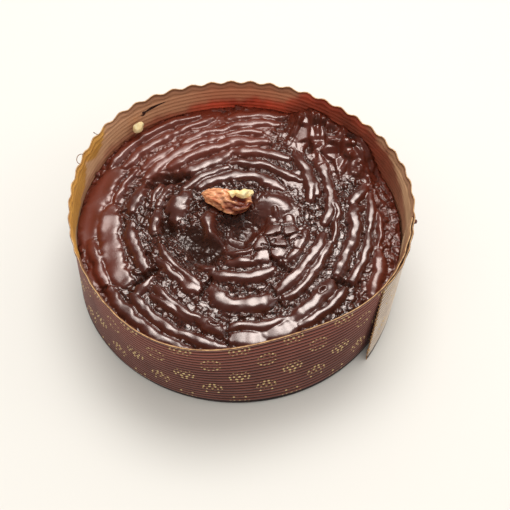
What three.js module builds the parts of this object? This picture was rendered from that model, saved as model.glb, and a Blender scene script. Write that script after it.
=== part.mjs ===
// Round brownie cake in the low paper case that it was baked in.
// Chocolate is piped over the top in broken rings, and one nut kernel lies on the middle.
// Millimetres, +Z up, origin at the centre of the case's underside.

import * as THREE from 'three';

// Paper case
const BASE_RADIUS = 84.2;
const RIM_RADIUS = 85;
const CASE_HEIGHT = 55;
const PAPER = 0.6;
const BASE_DISC_RADIUS = 82;
const BASE_DISC_THICKNESS = 0.5;
const BASE_DISC_SIDES = 96;
const HEM_WIDTH = 6;
const FIT_GAP = 0.3;
const LIP_LENGTH = 4;
const LIP_FLARE = THREE.MathUtils.degToRad(30);
const LIP_FLARE_AT_BACK = 0.55;
const SCALLOPS = 49;
const SCALLOP_RISE = 0.8;
const STEPS_PER_SCALLOP = 4;

// Waves of the hand-shaped rim: order round the case, size, angle of a crest in degrees
const RIM_RADIUS_WAVES = [[2, 0.5, -74], [3, 1.6, 2], [4, 1.2, -25], [5, 0.5, 32], [6, 0.6, 17]];
const RIM_HEIGHT_WAVES = [[1, 3.4, -53], [2, 0.9, 4], [3, 0.9, 7]];

// The wall is one strip that laps over its own outside on the right
const LAP_INNER_END = -9;
const LAP_STEPS = 18;
const LAP_RAMP_STEPS = 20;
const LAP_STEP = 1.2;
const LAP_STAND_OFF = 3.5;
const LAP_SLANT = 5.5;

// Cake
const CAKE_GAP = 0.35;
const CAKE_EDGE = 33.2;
const CAKE_TILT = 1;
const CAKE_TILT_ANGLE = 20;
const CAKE_DOME = 2.6;
const RING_CENTRE = new THREE.Vector2(0, -1.5);
const RIDGE_HEIGHT = 2.3;
const POOL_HEIGHT = 1.5;
const STROKE_SPREAD = 1.3;
const STROKE_POINTS = 10;

// Piped strokes: from angle, to angle, radius at each end, bow of the middle, width
const RIDGES = [
  // first turn round the middle
  [150, 250, 15.5, 13.5, 0, 5.5], [257, 300, 17.5, 17.5, 0, 4.5], [300, 365, 13.5, 17, 0, 7],
  [12, 26, 20.5, 21, 0, 3.5],
  // front, from the middle outwards
  [262, 295, 23.5, 23.5, 0, 4.5], [229, 248, 30, 30, 0, 4], [250, 303, 32, 33, 0, 5],
  [318, 352, 33, 35, 0, 4], [200, 247, 40.5, 40.5, -1.2, 3.5], [210, 232, 44, 44, -0.5, 3.5],
  [253, 294, 41.5, 46.5, 3.8, 6.5], [296, 352, 45, 44, -2.7, 5], [299, 347, 49.5, 47.5, -0.3, 3.5],
  [348, 366, 49.5, 51, 0, 3], [180, 213, 54.5, 52.5, -0.6, 5], [225, 253, 54, 57.5, 0, 3.5],
  [227, 250, 57.8, 59.5, 0, 3], [252, 266, 57.5, 62.5, 0, 5], [267, 295, 59.3, 60.3, 0.6, 4],
  [297, 325, 61.5, 57.8, 0, 6], [330, 345, 57, 57.5, 0, 5], [344, 372, 58, 61.5, 0, 5.5],
  [298, 326, 66, 65.3, -0.3, 3.8], [328, 357, 65.5, 66.8, 0, 4], [358, 377, 67, 71.5, 0, 4],
  [218, 222, 53, 64, 0, 5], [221, 267, 65.3, 70, 0, 4.5], [213, 257, 72.5, 76, -0.5, 5],
  [189, 210, 73.8, 72.5, -0.3, 4.5], [329, 348, 77.5, 73, 0, 5], [350, 368, 72.8, 73.3, 0, 2.5],
  // back, from the middle outwards
  [45, 130, 33, 31, 0, 5], [100, 141, 37.8, 36.3, -1, 4.5], [42, 97, 42.8, 41, -0.5, 4],
  [98, 131, 47, 44.5, -1.5, 6], [60, 95, 51.5, 49, 0, 5], [93, 134, 55.5, 52, -1, 5],
  [76, 101, 58.5, 57, -0.5, 5], [100, 148, 61, 58, -0.5, 5], [80, 97, 65, 62, 0, 4],
  [126, 144, 63, 62.5, 0, 4.5], [97, 120, 67, 63, 0, 4], [74, 97, 74, 67.5, 0, 5],
  [120, 148, 72.5, 72, 0, 5], [102, 120, 76.5, 72.5, 0, 4], [72, 95, 80, 75, 0, 5],
  [107, 151, 79.5, 79.5, 1, 4],
  // left
  [146, 154, 42, 42, 0, 4], [157, 164, 42, 42.5, 0, 4], [170, 186, 42, 42, 0, 5],
  [148, 162, 48.5, 46.5, 0, 3.5], [154, 171, 55.5, 55, 0, 5.5], [147, 168, 64.8, 64.8, 0, 3],
  // right, slanting outwards
  [24, 57, 41.5, 56, 0, 5], [26, 50, 46, 53.5, 0, 4], [2, 46, 44.5, 60, 0, 4.5],
  [2, 20, 51, 53, 0, 3], [32, 47, 56, 62.5, 0, 4], [8, 11, 60, 66, 0, 4], [15, 22, 61, 73, 0, 5],
];

// Flat pools of chocolate, in the same terms
const POOLS = [
  [172, 212, 66, 64.5, 0, 8.5], [269, 281, 65.7, 65.7, 0, 7], [284, 297, 64.7, 64.7, 0, 6.5],
  [232, 247, 42.5, 42.5, 0, 5.5], [147, 173, 33.5, 33, 0, 8], [306, 338, 22.5, 22.5, 0, 8],
  [343, 368, 26.5, 26, 0, 6], [152, 188, 74, 76, 0, 9],
];

// Cracks across the rings: from angle, to angle, radius at each end, width, depth
const CRACKS = [
  [309, 312, 20, 40, 4, 2.5], [249, 249, 33, 46, 3.5, 2.5], [215, 217, 48, 61, 4, 3],
  [211, 211.5, 73, 80, 2, 2.5], [326, 327.5, 57, 75, 4, 2.5], [295, 295, 40, 53, 2, 2],
  [267, 268, 57, 71, 2, 2], [134, 151, 41, 55, 7, 4.5], [172, 190, 36, 34, 6, 3],
  [66, 67, 55, 84, 3, 2],
];

// Sunken places: angle, radius, reach, depth
const HOLLOWS = [
  [270, 3.5, 11, 6.5], [198, 24, 7, 4], [228, 18, 8, 4.5], [140, 47, 5, 1.5], [186, 35, 5, 3],
];

// Crust that was lifted and crumpled against the wall, back right
const CRUST_FROM = 30;
const CRUST_TO = 67;
const CRUST_FADE = 7;
const CRUST_INNER = 55;
const CRUST_OUTER = 83;
const CRUST_RISE = 10;
const CRUST_FOLD = 1.3;
const CRUST_FOLD_PITCH = 7.5;

// Nut kernel
const NUT_LENGTH = 27;
const NUT_FRONT = 9.5;
const NUT_BACK = 5;
const NUT_HEIGHT = 9;
const NUT_PLACE = new THREE.Vector3(-5.8, 12.3, 35.4);
const NUT_TURN = THREE.MathUtils.degToRad(-11.6);
const NUT_RINGS = 24;
const NUT_SIDES = 18;
const NUT_WRINKLE = 0.07;
const NUT_BLUNTNESS = 2.6;
const NUT_POINT = 0.45;
const NUT_BED = 0.65;

// Rings of the cake's top: how many spokes they have, and how many rings of each kind
const TOP_BANDS = [
  { spokes: 32, rings: 5, outer: 0.13 },
  { spokes: 64, rings: 12, outer: 0.41 },
  { spokes: 128, rings: 26, outer: 1 },
];

const rad = THREE.MathUtils.degToRad;
const smooth = THREE.MathUtils.smoothstep;

function waves(list, angle) {
  return list.reduce((sum, [order, size, crest]) => sum + size * Math.cos(order * (angle - rad(crest))), 0);
}

// Angle of the lip from upright: it leans out most at the front
function lipFlare(angle) {
  return LIP_FLARE * THREE.MathUtils.lerp(LIP_FLARE_AT_BACK, 1, Math.max(0, -Math.sin(angle)) ** 4);
}

function lipStart(angle) {
  const flare = lipFlare(angle);
  return {
    radius: RIM_RADIUS + waves(RIM_RADIUS_WAVES, angle) - LIP_LENGTH * Math.sin(flare),
    height: CASE_HEIGHT + waves(RIM_HEIGHT_WAVES, angle) - LIP_LENGTH * Math.cos(flare),
  };
}

// Radius of the middle of the paper at a height on the wall
function wallRadius(angle, height) {
  const lip = lipStart(angle);
  return THREE.MathUtils.lerp(BASE_RADIUS, lip.radius, height / lip.height);
}

function solid(positions, triangles) {
  const geometry = new THREE.BufferGeometry();
  geometry.setAttribute('position', new THREE.Float32BufferAttribute(positions.flat(), 3));
  geometry.setIndex(triangles.flat());
  geometry.computeVertexNormals();
  return geometry;
}

// Case wall: one closed section carried along the strip, from its inner end round to its outer end

const STEPS_ROUND = SCALLOPS * STEPS_PER_SCALLOP;
const HEM_HEIGHT = BASE_DISC_THICKNESS + FIT_GAP + PAPER / 2;

// Points of the strip's section: radius, height, and how far up the wall they are (0 to 1)
function wallSection(angle, hem, reach) {
  const half = PAPER / 2;
  const lip = lipStart(angle);
  const flare = lipFlare(angle);
  const bend = flare / 2;
  const edgeRadius = lip.radius + reach * Math.sin(flare);
  const edgeHeight = lip.height + reach * Math.cos(flare);
  const side = (s) => [
    [BASE_RADIUS - hem, HEM_HEIGHT - s * half, 0],
    [BASE_RADIUS + s * half, HEM_HEIGHT - s * half, 0],
    [lip.radius + s * half * Math.cos(bend), lip.height - s * half * Math.sin(bend), 1],
    [edgeRadius + s * half * Math.cos(flare), edgeHeight - s * half * Math.sin(flare), 1],
  ];
  return [...side(1), ...side(-1).reverse()];
}

function caseWallGeometry() {
  const last = STEPS_ROUND + LAP_STEPS;
  const positions = [];
  const triangles = [];
  let count = 0;
  for (let i = 0; i <= last; i++) {
    const travel = (i / STEPS_ROUND) * 2 * Math.PI;
    const angle = rad(LAP_INNER_END) - travel;
    const onto = smooth(i, STEPS_ROUND - LAP_RAMP_STEPS, STEPS_ROUND);
    const hem = THREE.MathUtils.lerp(HEM_WIDTH, PAPER, onto);
    const free = Math.max(0, (i - STEPS_ROUND) / LAP_STEPS);
    const reach = LIP_LENGTH + SCALLOP_RISE * Math.cos(SCALLOPS * travel);
    const section = wallSection(angle, hem, reach);
    count = section.length;
    section.forEach(([radius, height, up]) => {
      const turned = angle + rad(LAP_SLANT) * up * free;
      const away = radius + LAP_STEP * onto + LAP_STAND_OFF * free ** 2 * (1 - up);
      positions.push([away * Math.cos(turned), away * Math.sin(turned), height]);
    });
  }
  for (let i = 0; i < last; i++) {
    for (let j = 0; j < count; j++) {
      const a = i * count + j;
      const b = i * count + ((j + 1) % count);
      triangles.push([a, b, a + count], [b, b + count, a + count]);
    }
  }
  // the two cut ends of the strip, each a fan of quads between its outside and its inside
  for (let j = 0; j < count / 2 - 1; j++) {
    const across = count - 1 - j;
    const end = last * count;
    triangles.push([j, across, j + 1], [j + 1, across, across - 1]);
    triangles.push([end + j, end + j + 1, end + across], [end + j + 1, end + across - 1, end + across]);
  }
  return solid(positions, triangles);
}

// Cake: a height over the plan, closed by the side against the paper and a flat bottom

const CAKE_BOTTOM = HEM_HEIGHT + PAPER / 2 + CAKE_GAP;

// Centre line of a stroke that runs round the ring centre
function strokeLine([from, to, radiusFrom, radiusTo, bow]) {
  const points = [];
  for (let i = 0; i <= STROKE_POINTS; i++) {
    const t = i / STROKE_POINTS;
    const angle = rad(THREE.MathUtils.lerp(from, to, t));
    const radius = THREE.MathUtils.lerp(radiusFrom, radiusTo, t) + 4 * bow * t * (1 - t);
    points.push(new THREE.Vector2(Math.cos(angle), Math.sin(angle)).multiplyScalar(radius).add(RING_CENTRE));
  }
  return points;
}

function distanceToLine(point, line) {
  let best = Infinity;
  for (let i = 1; i < line.length; i++) {
    const along = line[i].clone().sub(line[i - 1]);
    const from = point.clone().sub(line[i - 1]);
    const t = THREE.MathUtils.clamp(from.dot(along) / along.lengthSq(), 0, 1);
    best = Math.min(best, from.sub(along.multiplyScalar(t)).length());
  }
  return best;
}

const pipedLine = (stroke) => ({ line: strokeLine(stroke), half: (STROKE_SPREAD * stroke[5]) / 2 });
const ridgeLines = RIDGES.map(pipedLine);
const poolLines = POOLS.map(pipedLine);
const crackLines = CRACKS.map(([from, to, inner, outer, width, depth]) => ({
  line: strokeLine([from, to, inner, outer, 0]),
  half: width / 2,
  depth,
}));
const hollowSpots = HOLLOWS.map(([angle, radius, reach, depth]) => ({
  spot: new THREE.Vector2(Math.cos(rad(angle)), Math.sin(rad(angle))).multiplyScalar(radius).add(RING_CENTRE),
  reach,
  depth,
}));

function crustRise(angle, radius) {
  const across = smooth(angle, CRUST_FROM - CRUST_FADE, CRUST_FROM + CRUST_FADE)
    * (1 - smooth(angle, CRUST_TO - CRUST_FADE, CRUST_TO + CRUST_FADE));
  const outwards = smooth(radius, CRUST_INNER, CRUST_OUTER);
  const fold = CRUST_FOLD * Math.cos((angle / CRUST_FOLD_PITCH) * 2 * Math.PI);
  return across * (CRUST_RISE * outwards ** 2 + fold * Math.sqrt(outwards));
}

// The nut reaches further forward from its long axis than back
function nutHalf(across) {
  return across > 0 ? NUT_BACK : NUT_FRONT;
}

// How far out a point is in the nut's plan, 1 at a margin round its outline
function outFromNut(point) {
  const across = point.clone().sub(NUT_PLACE).rotateAround(new THREE.Vector2(), -NUT_TURN);
  return Math.hypot(across.x / (NUT_LENGTH / 2 + 1), across.y / (nutHalf(across.y) + 1));
}

function cakeHeight(point) {
  const place = point.clone().sub(RING_CENTRE);
  const radius = place.length();
  const angle = THREE.MathUtils.euclideanModulo(THREE.MathUtils.radToDeg(place.angle()), 360);
  let height = CAKE_EDGE + CAKE_DOME * (1 - (radius / BASE_RADIUS) ** 2);
  height += CAKE_TILT * (radius / BASE_RADIUS) * Math.cos(rad(angle - CAKE_TILT_ANGLE));
  for (const { spot, reach, depth } of hollowSpots) {
    height -= depth * Math.exp(-((point.distanceTo(spot) / reach) ** 2));
  }
  let stroke = 0;
  for (const { line, half } of ridgeLines) {
    const d = distanceToLine(point, line) / half;
    stroke = Math.max(stroke, d < 1 ? RIDGE_HEIGHT * Math.sqrt(1 - d * d) : 0);
  }
  for (const { line, half } of poolLines) {
    const d = distanceToLine(point, line) / half;
    stroke = Math.max(stroke, d < 1 ? POOL_HEIGHT * Math.sqrt(1 - d ** 6) : 0);
  }
  height += stroke + crustRise(angle, radius);
  for (const { line, half, depth } of crackLines) {
    const d = distanceToLine(point, line) / half;
    height -= d < 1 ? depth * (1 - d * d) : 0;
  }
  // the nut lies on a bed of cake, and nothing beside it rises into it
  const bed = NUT_PLACE.z - FIT_GAP;
  const out = outFromNut(point);
  if (out < NUT_BED) return bed;
  return out < 1 ? Math.min(height, bed) : height;
}

function onSpoke(angle, radius) {
  return new THREE.Vector2(Math.cos(angle), Math.sin(angle)).multiplyScalar(radius);
}

function cakeSideRadius(angle, height) {
  return wallRadius(angle, height) - PAPER / 2 - CAKE_GAP;
}

function cakeGeometry() {
  const positions = [];
  const triangles = [];
  const addPoint = (point, height) => positions.push([point.x, point.y, height]) - 1;
  const addRing = (spokes, place) => Array.from({ length: spokes }, (_, j) => place((j / spokes) * 2 * Math.PI));
  // Joins two rings, of which the outer has as many points as the inner or twice as many
  const stitch = (inner, outer) => {
    const twice = outer.length > inner.length;
    const out = (k) => outer[k % outer.length];
    inner.forEach((a, j) => {
      const next = inner[(j + 1) % inner.length];
      if (twice) {
        const between = out(2 * j + 1);
        triangles.push([a, out(2 * j), between], [a, between, next], [next, between, out(2 * j + 2)]);
      } else {
        triangles.push([a, out(j), out(j + 1)], [a, out(j + 1), next]);
      }
    });
  };

  const centre = new THREE.Vector2();
  const middle = addPoint(centre, cakeHeight(centre));
  let before = null;
  let start = 0;
  for (const { spokes, rings, outer } of TOP_BANDS) {
    for (let k = 1; k <= rings; k++) {
      const part = THREE.MathUtils.lerp(start, outer, k / rings);
      const ring = addRing(spokes, (angle) => {
        const guess = onSpoke(angle, part * cakeSideRadius(angle, CAKE_EDGE));
        const height = cakeHeight(guess);
        return addPoint(onSpoke(angle, part * cakeSideRadius(angle, height)), height);
      });
      if (before) stitch(before, ring);
      else ring.forEach((a, j) => triangles.push([middle, a, ring[(j + 1) % spokes]]));
      before = ring;
    }
    start = outer;
  }

  const bottom = addRing(before.length, (angle) => {
    const radius = cakeSideRadius(angle, CAKE_BOTTOM);
    return addPoint(onSpoke(angle, radius), CAKE_BOTTOM);
  });
  const under = addPoint(centre, CAKE_BOTTOM);
  stitch(before, bottom);
  bottom.forEach((a, j) => triangles.push([under, bottom[(j + 1) % bottom.length], a]));
  return solid(positions, triangles);
}

// Nut kernel: rings along its length, pointed at the left end, wrinkled, flat underneath

function nutGeometry() {
  const positions = [[-NUT_LENGTH / 2, 0, NUT_HEIGHT * 0.45]];
  const triangles = [];
  for (let i = 1; i < NUT_RINGS; i++) {
    const t = i / NUT_RINGS;
    const rounded = Math.sqrt(1 - Math.abs(2 * t - 1) ** NUT_BLUNTNESS);
    const girth = rounded * THREE.MathUtils.lerp(NUT_POINT, 1, smooth(t, 0, 0.6));
    for (let j = 0; j < NUT_SIDES; j++) {
      const turn = (j / NUT_SIDES) * 2 * Math.PI;
      const wrinkle = 1 + NUT_WRINKLE * Math.cos(5 * turn + 9 * t) * Math.cos(14 * t);
      const y = nutHalf(Math.cos(turn)) * girth * wrinkle * Math.cos(turn);
      const z = 0.5 * NUT_HEIGHT * (0.9 + 1.1 * girth * wrinkle * Math.sin(turn));
      positions.push([NUT_LENGTH * (t - 0.5), y, Math.max(z, 0)]);
    }
  }
  const tip = positions.push([NUT_LENGTH / 2, 0, NUT_HEIGHT * 0.45]) - 1;
  const at = (i, j) => 1 + (i - 1) * NUT_SIDES + (j % NUT_SIDES);
  for (let j = 0; j < NUT_SIDES; j++) {
    triangles.push([0, at(1, j + 1), at(1, j)], [tip, at(NUT_RINGS - 1, j), at(NUT_RINGS - 1, j + 1)]);
    for (let i = 1; i < NUT_RINGS - 1; i++) {
      triangles.push([at(i, j), at(i + 1, j + 1), at(i + 1, j)], [at(i, j), at(i, j + 1), at(i + 1, j + 1)]);
    }
  }
  return solid(positions, triangles);
}

function addPiece(parent, name, geometry, color, roughness) {
  const mesh = new THREE.Mesh(geometry, new THREE.MeshStandardMaterial({ color, roughness, metalness: 0 }));
  mesh.name = name;
  parent.add(mesh);
  return mesh;
}

const cakeInCase = new THREE.Group();

const disc = new THREE.CylinderGeometry(BASE_DISC_RADIUS, BASE_DISC_RADIUS, BASE_DISC_THICKNESS, BASE_DISC_SIDES);
const caseBase = addPiece(cakeInCase, 'case_base', disc.rotateX(Math.PI / 2), '#5a3a2e', 0.8);
caseBase.position.z = BASE_DISC_THICKNESS / 2;

addPiece(cakeInCase, 'case_wall', caseWallGeometry(), '#5d3b32', 0.75);
addPiece(cakeInCase, 'cake', cakeGeometry(), '#3a1d14', 0.3);

const nut = addPiece(cakeInCase, 'nut_kernel', nutGeometry(), '#9c5a35', 0.6);
nut.position.copy(NUT_PLACE);
nut.rotation.z = NUT_TURN;

export default cakeInCase;
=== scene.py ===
import math

import bpy
import numpy as np
from mathutils import Matrix, Vector


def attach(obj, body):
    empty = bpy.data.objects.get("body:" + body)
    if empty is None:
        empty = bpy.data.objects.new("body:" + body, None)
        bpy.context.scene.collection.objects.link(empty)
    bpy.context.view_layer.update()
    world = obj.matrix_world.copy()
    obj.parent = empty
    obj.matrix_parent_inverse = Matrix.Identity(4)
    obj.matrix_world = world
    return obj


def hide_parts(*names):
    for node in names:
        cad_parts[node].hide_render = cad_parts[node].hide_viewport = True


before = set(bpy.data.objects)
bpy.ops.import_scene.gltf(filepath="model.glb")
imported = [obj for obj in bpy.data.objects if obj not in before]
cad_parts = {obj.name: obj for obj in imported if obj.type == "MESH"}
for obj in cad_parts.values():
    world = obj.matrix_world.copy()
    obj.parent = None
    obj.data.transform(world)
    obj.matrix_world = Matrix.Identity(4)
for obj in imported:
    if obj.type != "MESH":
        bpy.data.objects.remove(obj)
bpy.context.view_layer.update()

bl_info = {
    "name": "Brownie cake in a paper case",
    "version": (1, 0, 0),
    "blender": (4, 5, 0),
    "location": "View3D > Sidebar > Brownie cake",
    "description": "Models a round brownie cake with piped chocolate, its paper case and its nut",
    "category": "Add Mesh",
}

MM = 0.001
BODY = "root"

# Waves of the hand-shaped rim: order round the case, size in mm, angle of a crest in degrees
RIM_RADIUS_WAVES = [(2, 0.5, -74), (3, 1.6, 2), (4, 1.2, -25), (5, 0.5, 32), (6, 0.6, 17)]
RIM_HEIGHT_WAVES = [(1, 3.4, -53), (2, 0.9, 4), (3, 0.9, 7)]

# Piped strokes, in degrees and mm: from angle, to angle, radius at each end, bow of the middle, width
RIDGES = [
    # first turn round the middle
    (150, 250, 15.5, 13.5, 0, 5.5), (257, 300, 17.5, 17.5, 0, 4.5), (300, 365, 13.5, 17, 0, 7),
    (12, 26, 20.5, 21, 0, 3.5), (209, 309, 4, 11, 0, 3.5),
    # front, from the middle outwards
    (262, 295, 23.5, 23.5, 0, 4.5), (229, 248, 30, 30, 0, 4), (250, 303, 32, 33, 0, 5),
    (318, 352, 33, 35, 0, 4), (200, 247, 40.5, 40.5, -1.2, 3.5), (210, 232, 44, 44, -0.5, 3.5),
    (253, 294, 41.5, 46.5, 3.8, 6.5), (296, 352, 45, 44, -2.7, 5), (299, 347, 49.5, 47.5, -0.3, 3.5),
    (348, 366, 49.5, 51, 0, 3), (180, 213, 54.5, 52.5, -0.6, 5), (225, 253, 54, 57.5, 0, 3.5),
    (227, 250, 57.8, 59.5, 0, 3), (252, 266, 57.5, 62.5, 0, 5), (267, 295, 59.3, 60.3, 0.6, 4),
    (297, 325, 61.5, 57.8, 0, 6), (330, 345, 57, 57.5, 0, 5), (344, 372, 58, 61.5, 0, 5.5),
    (298, 326, 66, 65.3, -0.3, 3.8), (328, 357, 65.5, 66.8, 0, 4), (358, 377, 67, 71.5, 0, 4),
    (218, 222, 53, 64, 0, 5), (221, 267, 65.3, 70, 0, 4.5), (213, 257, 72.5, 76, -0.5, 5),
    (189, 210, 73.8, 72.5, -0.3, 4.5), (329, 348, 77.5, 73, 0, 5), (350, 368, 72.8, 73.3, 0, 2.5),
    # back, from the middle outwards
    (45, 130, 33, 31, 0, 5), (100, 141, 37.8, 36.3, -1, 4.5), (42, 97, 42.8, 41, -0.5, 4),
    (98, 131, 47, 44.5, -1.5, 6), (60, 95, 51.5, 49, 0, 5), (93, 134, 55.5, 52, -1, 5),
    (76, 101, 58.5, 57, -0.5, 5), (100, 148, 61, 58, -0.5, 5), (80, 97, 65, 62, 0, 4),
    (126, 144, 63, 62.5, 0, 4.5), (97, 120, 67, 63, 0, 4), (74, 97, 74, 67.5, 0, 5),
    (120, 148, 72.5, 72, 0, 5), (102, 120, 76.5, 72.5, 0, 4), (72, 95, 80, 75, 0, 5),
    (107, 151, 79.5, 79.5, 1, 4),
    # left
    (147, 173, 33.5, 33, 0, 8.5), (146, 154, 42, 42, 0, 4), (157, 164, 42, 42.5, 0, 4),
    (170, 186, 42, 42, 0, 5), (148, 162, 48.5, 46.5, 0, 3.5), (154, 171, 55.5, 55, 0, 5.5),
    (147, 168, 64.8, 64.8, 0, 3),
    # right, slanting outwards
    (24, 57, 41.5, 56, 0, 5), (26, 50, 46, 53.5, 0, 4), (2, 46, 44.5, 60, 0, 4.5),
    (2, 20, 51, 53, 0, 3), (32, 47, 56, 62.5, 0, 4), (8, 11, 60, 66, 0, 4), (15, 22, 61, 73, 0, 5),
]

# Flat pools of chocolate, in the same terms
POOLS = [
    (172, 212, 66, 64.5, 0, 8.5), (269, 281, 65.7, 65.7, 0, 7), (284, 297, 64.7, 64.7, 0, 6.5),
    (232, 247, 42.5, 42.5, 0, 5.5), (306, 338, 22.5, 22.5, 0, 8),
    (343, 368, 26.5, 26, 0, 6), (152, 188, 74, 76, 0, 9),
]

# Cracks across the rings: from angle, to angle, radius at each end, bow, width, depth
CRACKS = [
    (309, 312, 27, 38, 0, 4, 2.2), (249, 249, 34, 46, 0, 3.5, 2.2), (215, 217, 48, 61, 0, 5, 3),
    (211, 211.5, 73, 80, 0, 2.5, 2), (326, 327.5, 57, 68, 0, 4.5, 2.2), (295, 295, 42, 53, 0, 2.2, 1.4),
    (313, 342, 18.7, 20.6, 0.5, 1.2, 1), (338, 348, 26.7, 26.9, 0, 1.2, 1),
    (332, 350, 31.4, 31.3, 0, 1.2, 1), (267, 268, 57, 71, 0, 2, 1.2), (131, 153, 42, 55, 0, 8, 3.6),
    (172, 190, 36, 34, 0, 6, 2),
]

# Sharp folds of the lifted crust: from angle, to angle, radius at each end, bow, width, height
FOLDS = [
    (65, 65, 61, 84, 0, 5, 2.6), (65, 55, 84, 75, 0, 4, 2), (60, 54, 84, 72, 0, 4, 2.2),
    (46, 46.5, 76, 84, 0, 5, 2.2), (49, 43, 65, 76, 0, 7, 2.6), (38, 45, 75, 76, 0, 8, 2.6),
    (38, 33, 76, 65, 1.5, 4, 2), (27, 33, 68, 78, 0, 6, 1.6), (25, 48, 82.3, 82.6, 0, 2.6, 1.6),
    (56, 50, 63, 70, 0, 5, 1.8), (44, 28, 79, 77.5, 0, 3.4, 1.8), (28, 12, 77, 74.5, 0, 3, 1.3),
]

# Sunken places: angle, radius, reach, depth, how dark the painted shade makes the crumb in them
HOLLOWS = [
    (270, 3.5, 11, 6, 0.5), (201, 24.5, 7.5, 4, 0.9), (226, 21, 8.5, 4.5, 0.8),
    (140, 47, 5, 1.5, 0.8), (186, 35, 5, 3, 1), (42.5, 80, 2.6, 2, 0.6), (51, 78, 2.6, 2, 0.5),
    (54, 65, 3, 1.6, 0.5), (58, 79, 2.4, 1.6, 0.5),
]

# Places where the skin leans: angle, radius, reach, direction in which it rises, rise per mm
LEANING = [
    (24, 17, 12, 75, 0.42), (160, 34, 9, 60, 0.2), (270, 4, 11, 90, 0.4), (216, 24, 12, 80, 0.42),
    (162, 76, 10, 342, 0.11), (178, 76, 10, 358, 0.11), (192, 77, 8, 12, 0.1),
]

# Places that a film of chocolate has smoothed: angle, radius, reach, how red and matt it dried
SMOOTHED = [
    (262, 9, 6, 0.3), (330, 9, 6, 0.2), (30, 22, 12, 0), (45, 42, 7, 0), (326, 21, 14, 0),
    (342, 30, 9, 0), (84, 72, 13, 0.3), (168, 73, 11, 0.5), (182, 72, 9, 0.45), (195, 66, 9, 0.35),
    (205, 66, 8, 0.3), (105, 76, 11, 0.3), (125, 76, 9, 0.2), (95, 60, 8, 0.1), (115, 62, 8, 0.1),
    (205, 78, 6, 0.6),
]

# Dried chocolate: how matt, from angle, to angle, fade in degrees, radius where it starts and is full
DRIED = [
    (0.45, 72, 152, 25, 38, 54), (0.35, 150, 212, 12, 57, 66), (0.6, 150, 215, 20, 68, 76),
    (0.45, -35, 35, 20, 66, 76),
]

# Dried chocolate all along the wall: how matt, radius where it starts and is full
DRIED_AT_WALL = (0.7, 75, 84)

# Level plates that the skin has broken into: angle, radius, reach
PLATES = [(318, 22, 10), (340, 24, 9.5)]

# Burst bubbles in the chocolate: angle, radius, length round the ring, width
BUBBLES = [(317, 57.3, 3.6, 1.8), (261, 59, 4.2, 1.6), (321, 24, 1.6, 1.4)]
BUBBLE_LIP = 0.4
BUBBLE_DEPTH = 1.8

# Where the crumb between the rings is moist: from angle, to angle, fade in degrees
MOIST_SIDE = (-130, 40, 40)

# Unevenness of the cake: size in mm, seed
UNEVEN_EDGE = (9, 8)
RAGGED_RING = (5, 77)
RAGGED_CRACK = (5, 21)
WANDERING_STROKE = (14, 5)
UNBROKEN_SKIN = (8, 44)
MOIST_PATCH = (7, 31)
SLUMPED_SKIN = (11, 61)

# Chocolate soaked into the inside of the wall, by angle: upper edge in mm, strength, how red it is
STAIN = [
    (0, 43, 0.6, 0.26), (12, 48, 0.75, 0.3), (20, 51, 0.85, 0.33), (30, 54, 0.92, 0.35),
    (38, 54, 0.92, 0.37), (48, 57, 0.92, 0.4), (60, 57, 0.95, 0.48), (66, 52, 0.9, 0.65),
    (72, 42, 0.85, 0.9), (80, 39.5, 0.95, 1), (100, 38.5, 0.95, 1), (112, 36, 0.75, 0.7),
    (135, 36, 0.6, 0.5), (160, 36, 0.5, 0.3), (186, 37, 0.5, 0.1), (200, 40, 0.6, 0.1),
    (225, 41, 0.7, 0.15), (270, 42, 0.7, 0.2), (315, 41, 0.7, 0.15), (345, 40, 0.5, 0.1),
]

# How the edges of stain and syrup waver: waves round the case, size in mm
STAIN_WAVES = [(17, 0.7), (29, 0.6), (47, 0.5), (83, 0.4)]
STAIN_SEED = 3
SYRUP_WAVER = 0.6

# How soft those edges are: mm past the edge where the paper is still bare, and where it is soaked
STAIN_EDGE = (-3.5, 2.5)
SYRUP_EDGE = (-0.8, 0.8)

# Painted shade inside the lip, which faces up into the light, and darker paper below the lip at the front:
# angles and fade, mm below the lip, least share
SHADED_LIP = (-20, 140, 40)
SHADED_LIP_LEAST = 0.3
LIP_BAND = (6, 0)
DARKENED_FRONT = (190, 350, 40)
FRONT_BAND = (14, 6)

# Lower edge of the amber syrup that has run down from the rim, by angle: height in mm
SYRUP = [
    (143, 60), (146, 51), (150, 44.5), (154.5, 42), (158, 44.5), (161, 49), (163, 42), (166, 36),
    (172, 34), (182, 34), (188, 39), (194, 44), (202, 48), (212, 60),
]

# A height over the rim, where there is no syrup
NO_SYRUP = 70

# The rosettes of the print: middle dot, half a ring's line, and each ring's radius and number of dots
ROSETTE_DOT = 0.65
ROSETTE_LINE = 0.4
ROSETTE_RINGS = [(2.6, 6), (4.6, 14)]

# The lap of the strip: where it starts, how far it goes, and how it climbs over and stands off
LAP_INNER_END = -9
LAP_ANGLE = 33
LAP_RAMP_ANGLE = 37
LAP_STEP = 1.2
LAP_STAND_OFF = 3.5
LAP_SLANT = 5.5

# Degrees along the strip over which the outside of the lap is painted paler, as painted light from the
# right, and how far
LAP_LIT_FROM = 338
LAP_LIT_TO = 369
LAP_LIT = 0.95

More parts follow.
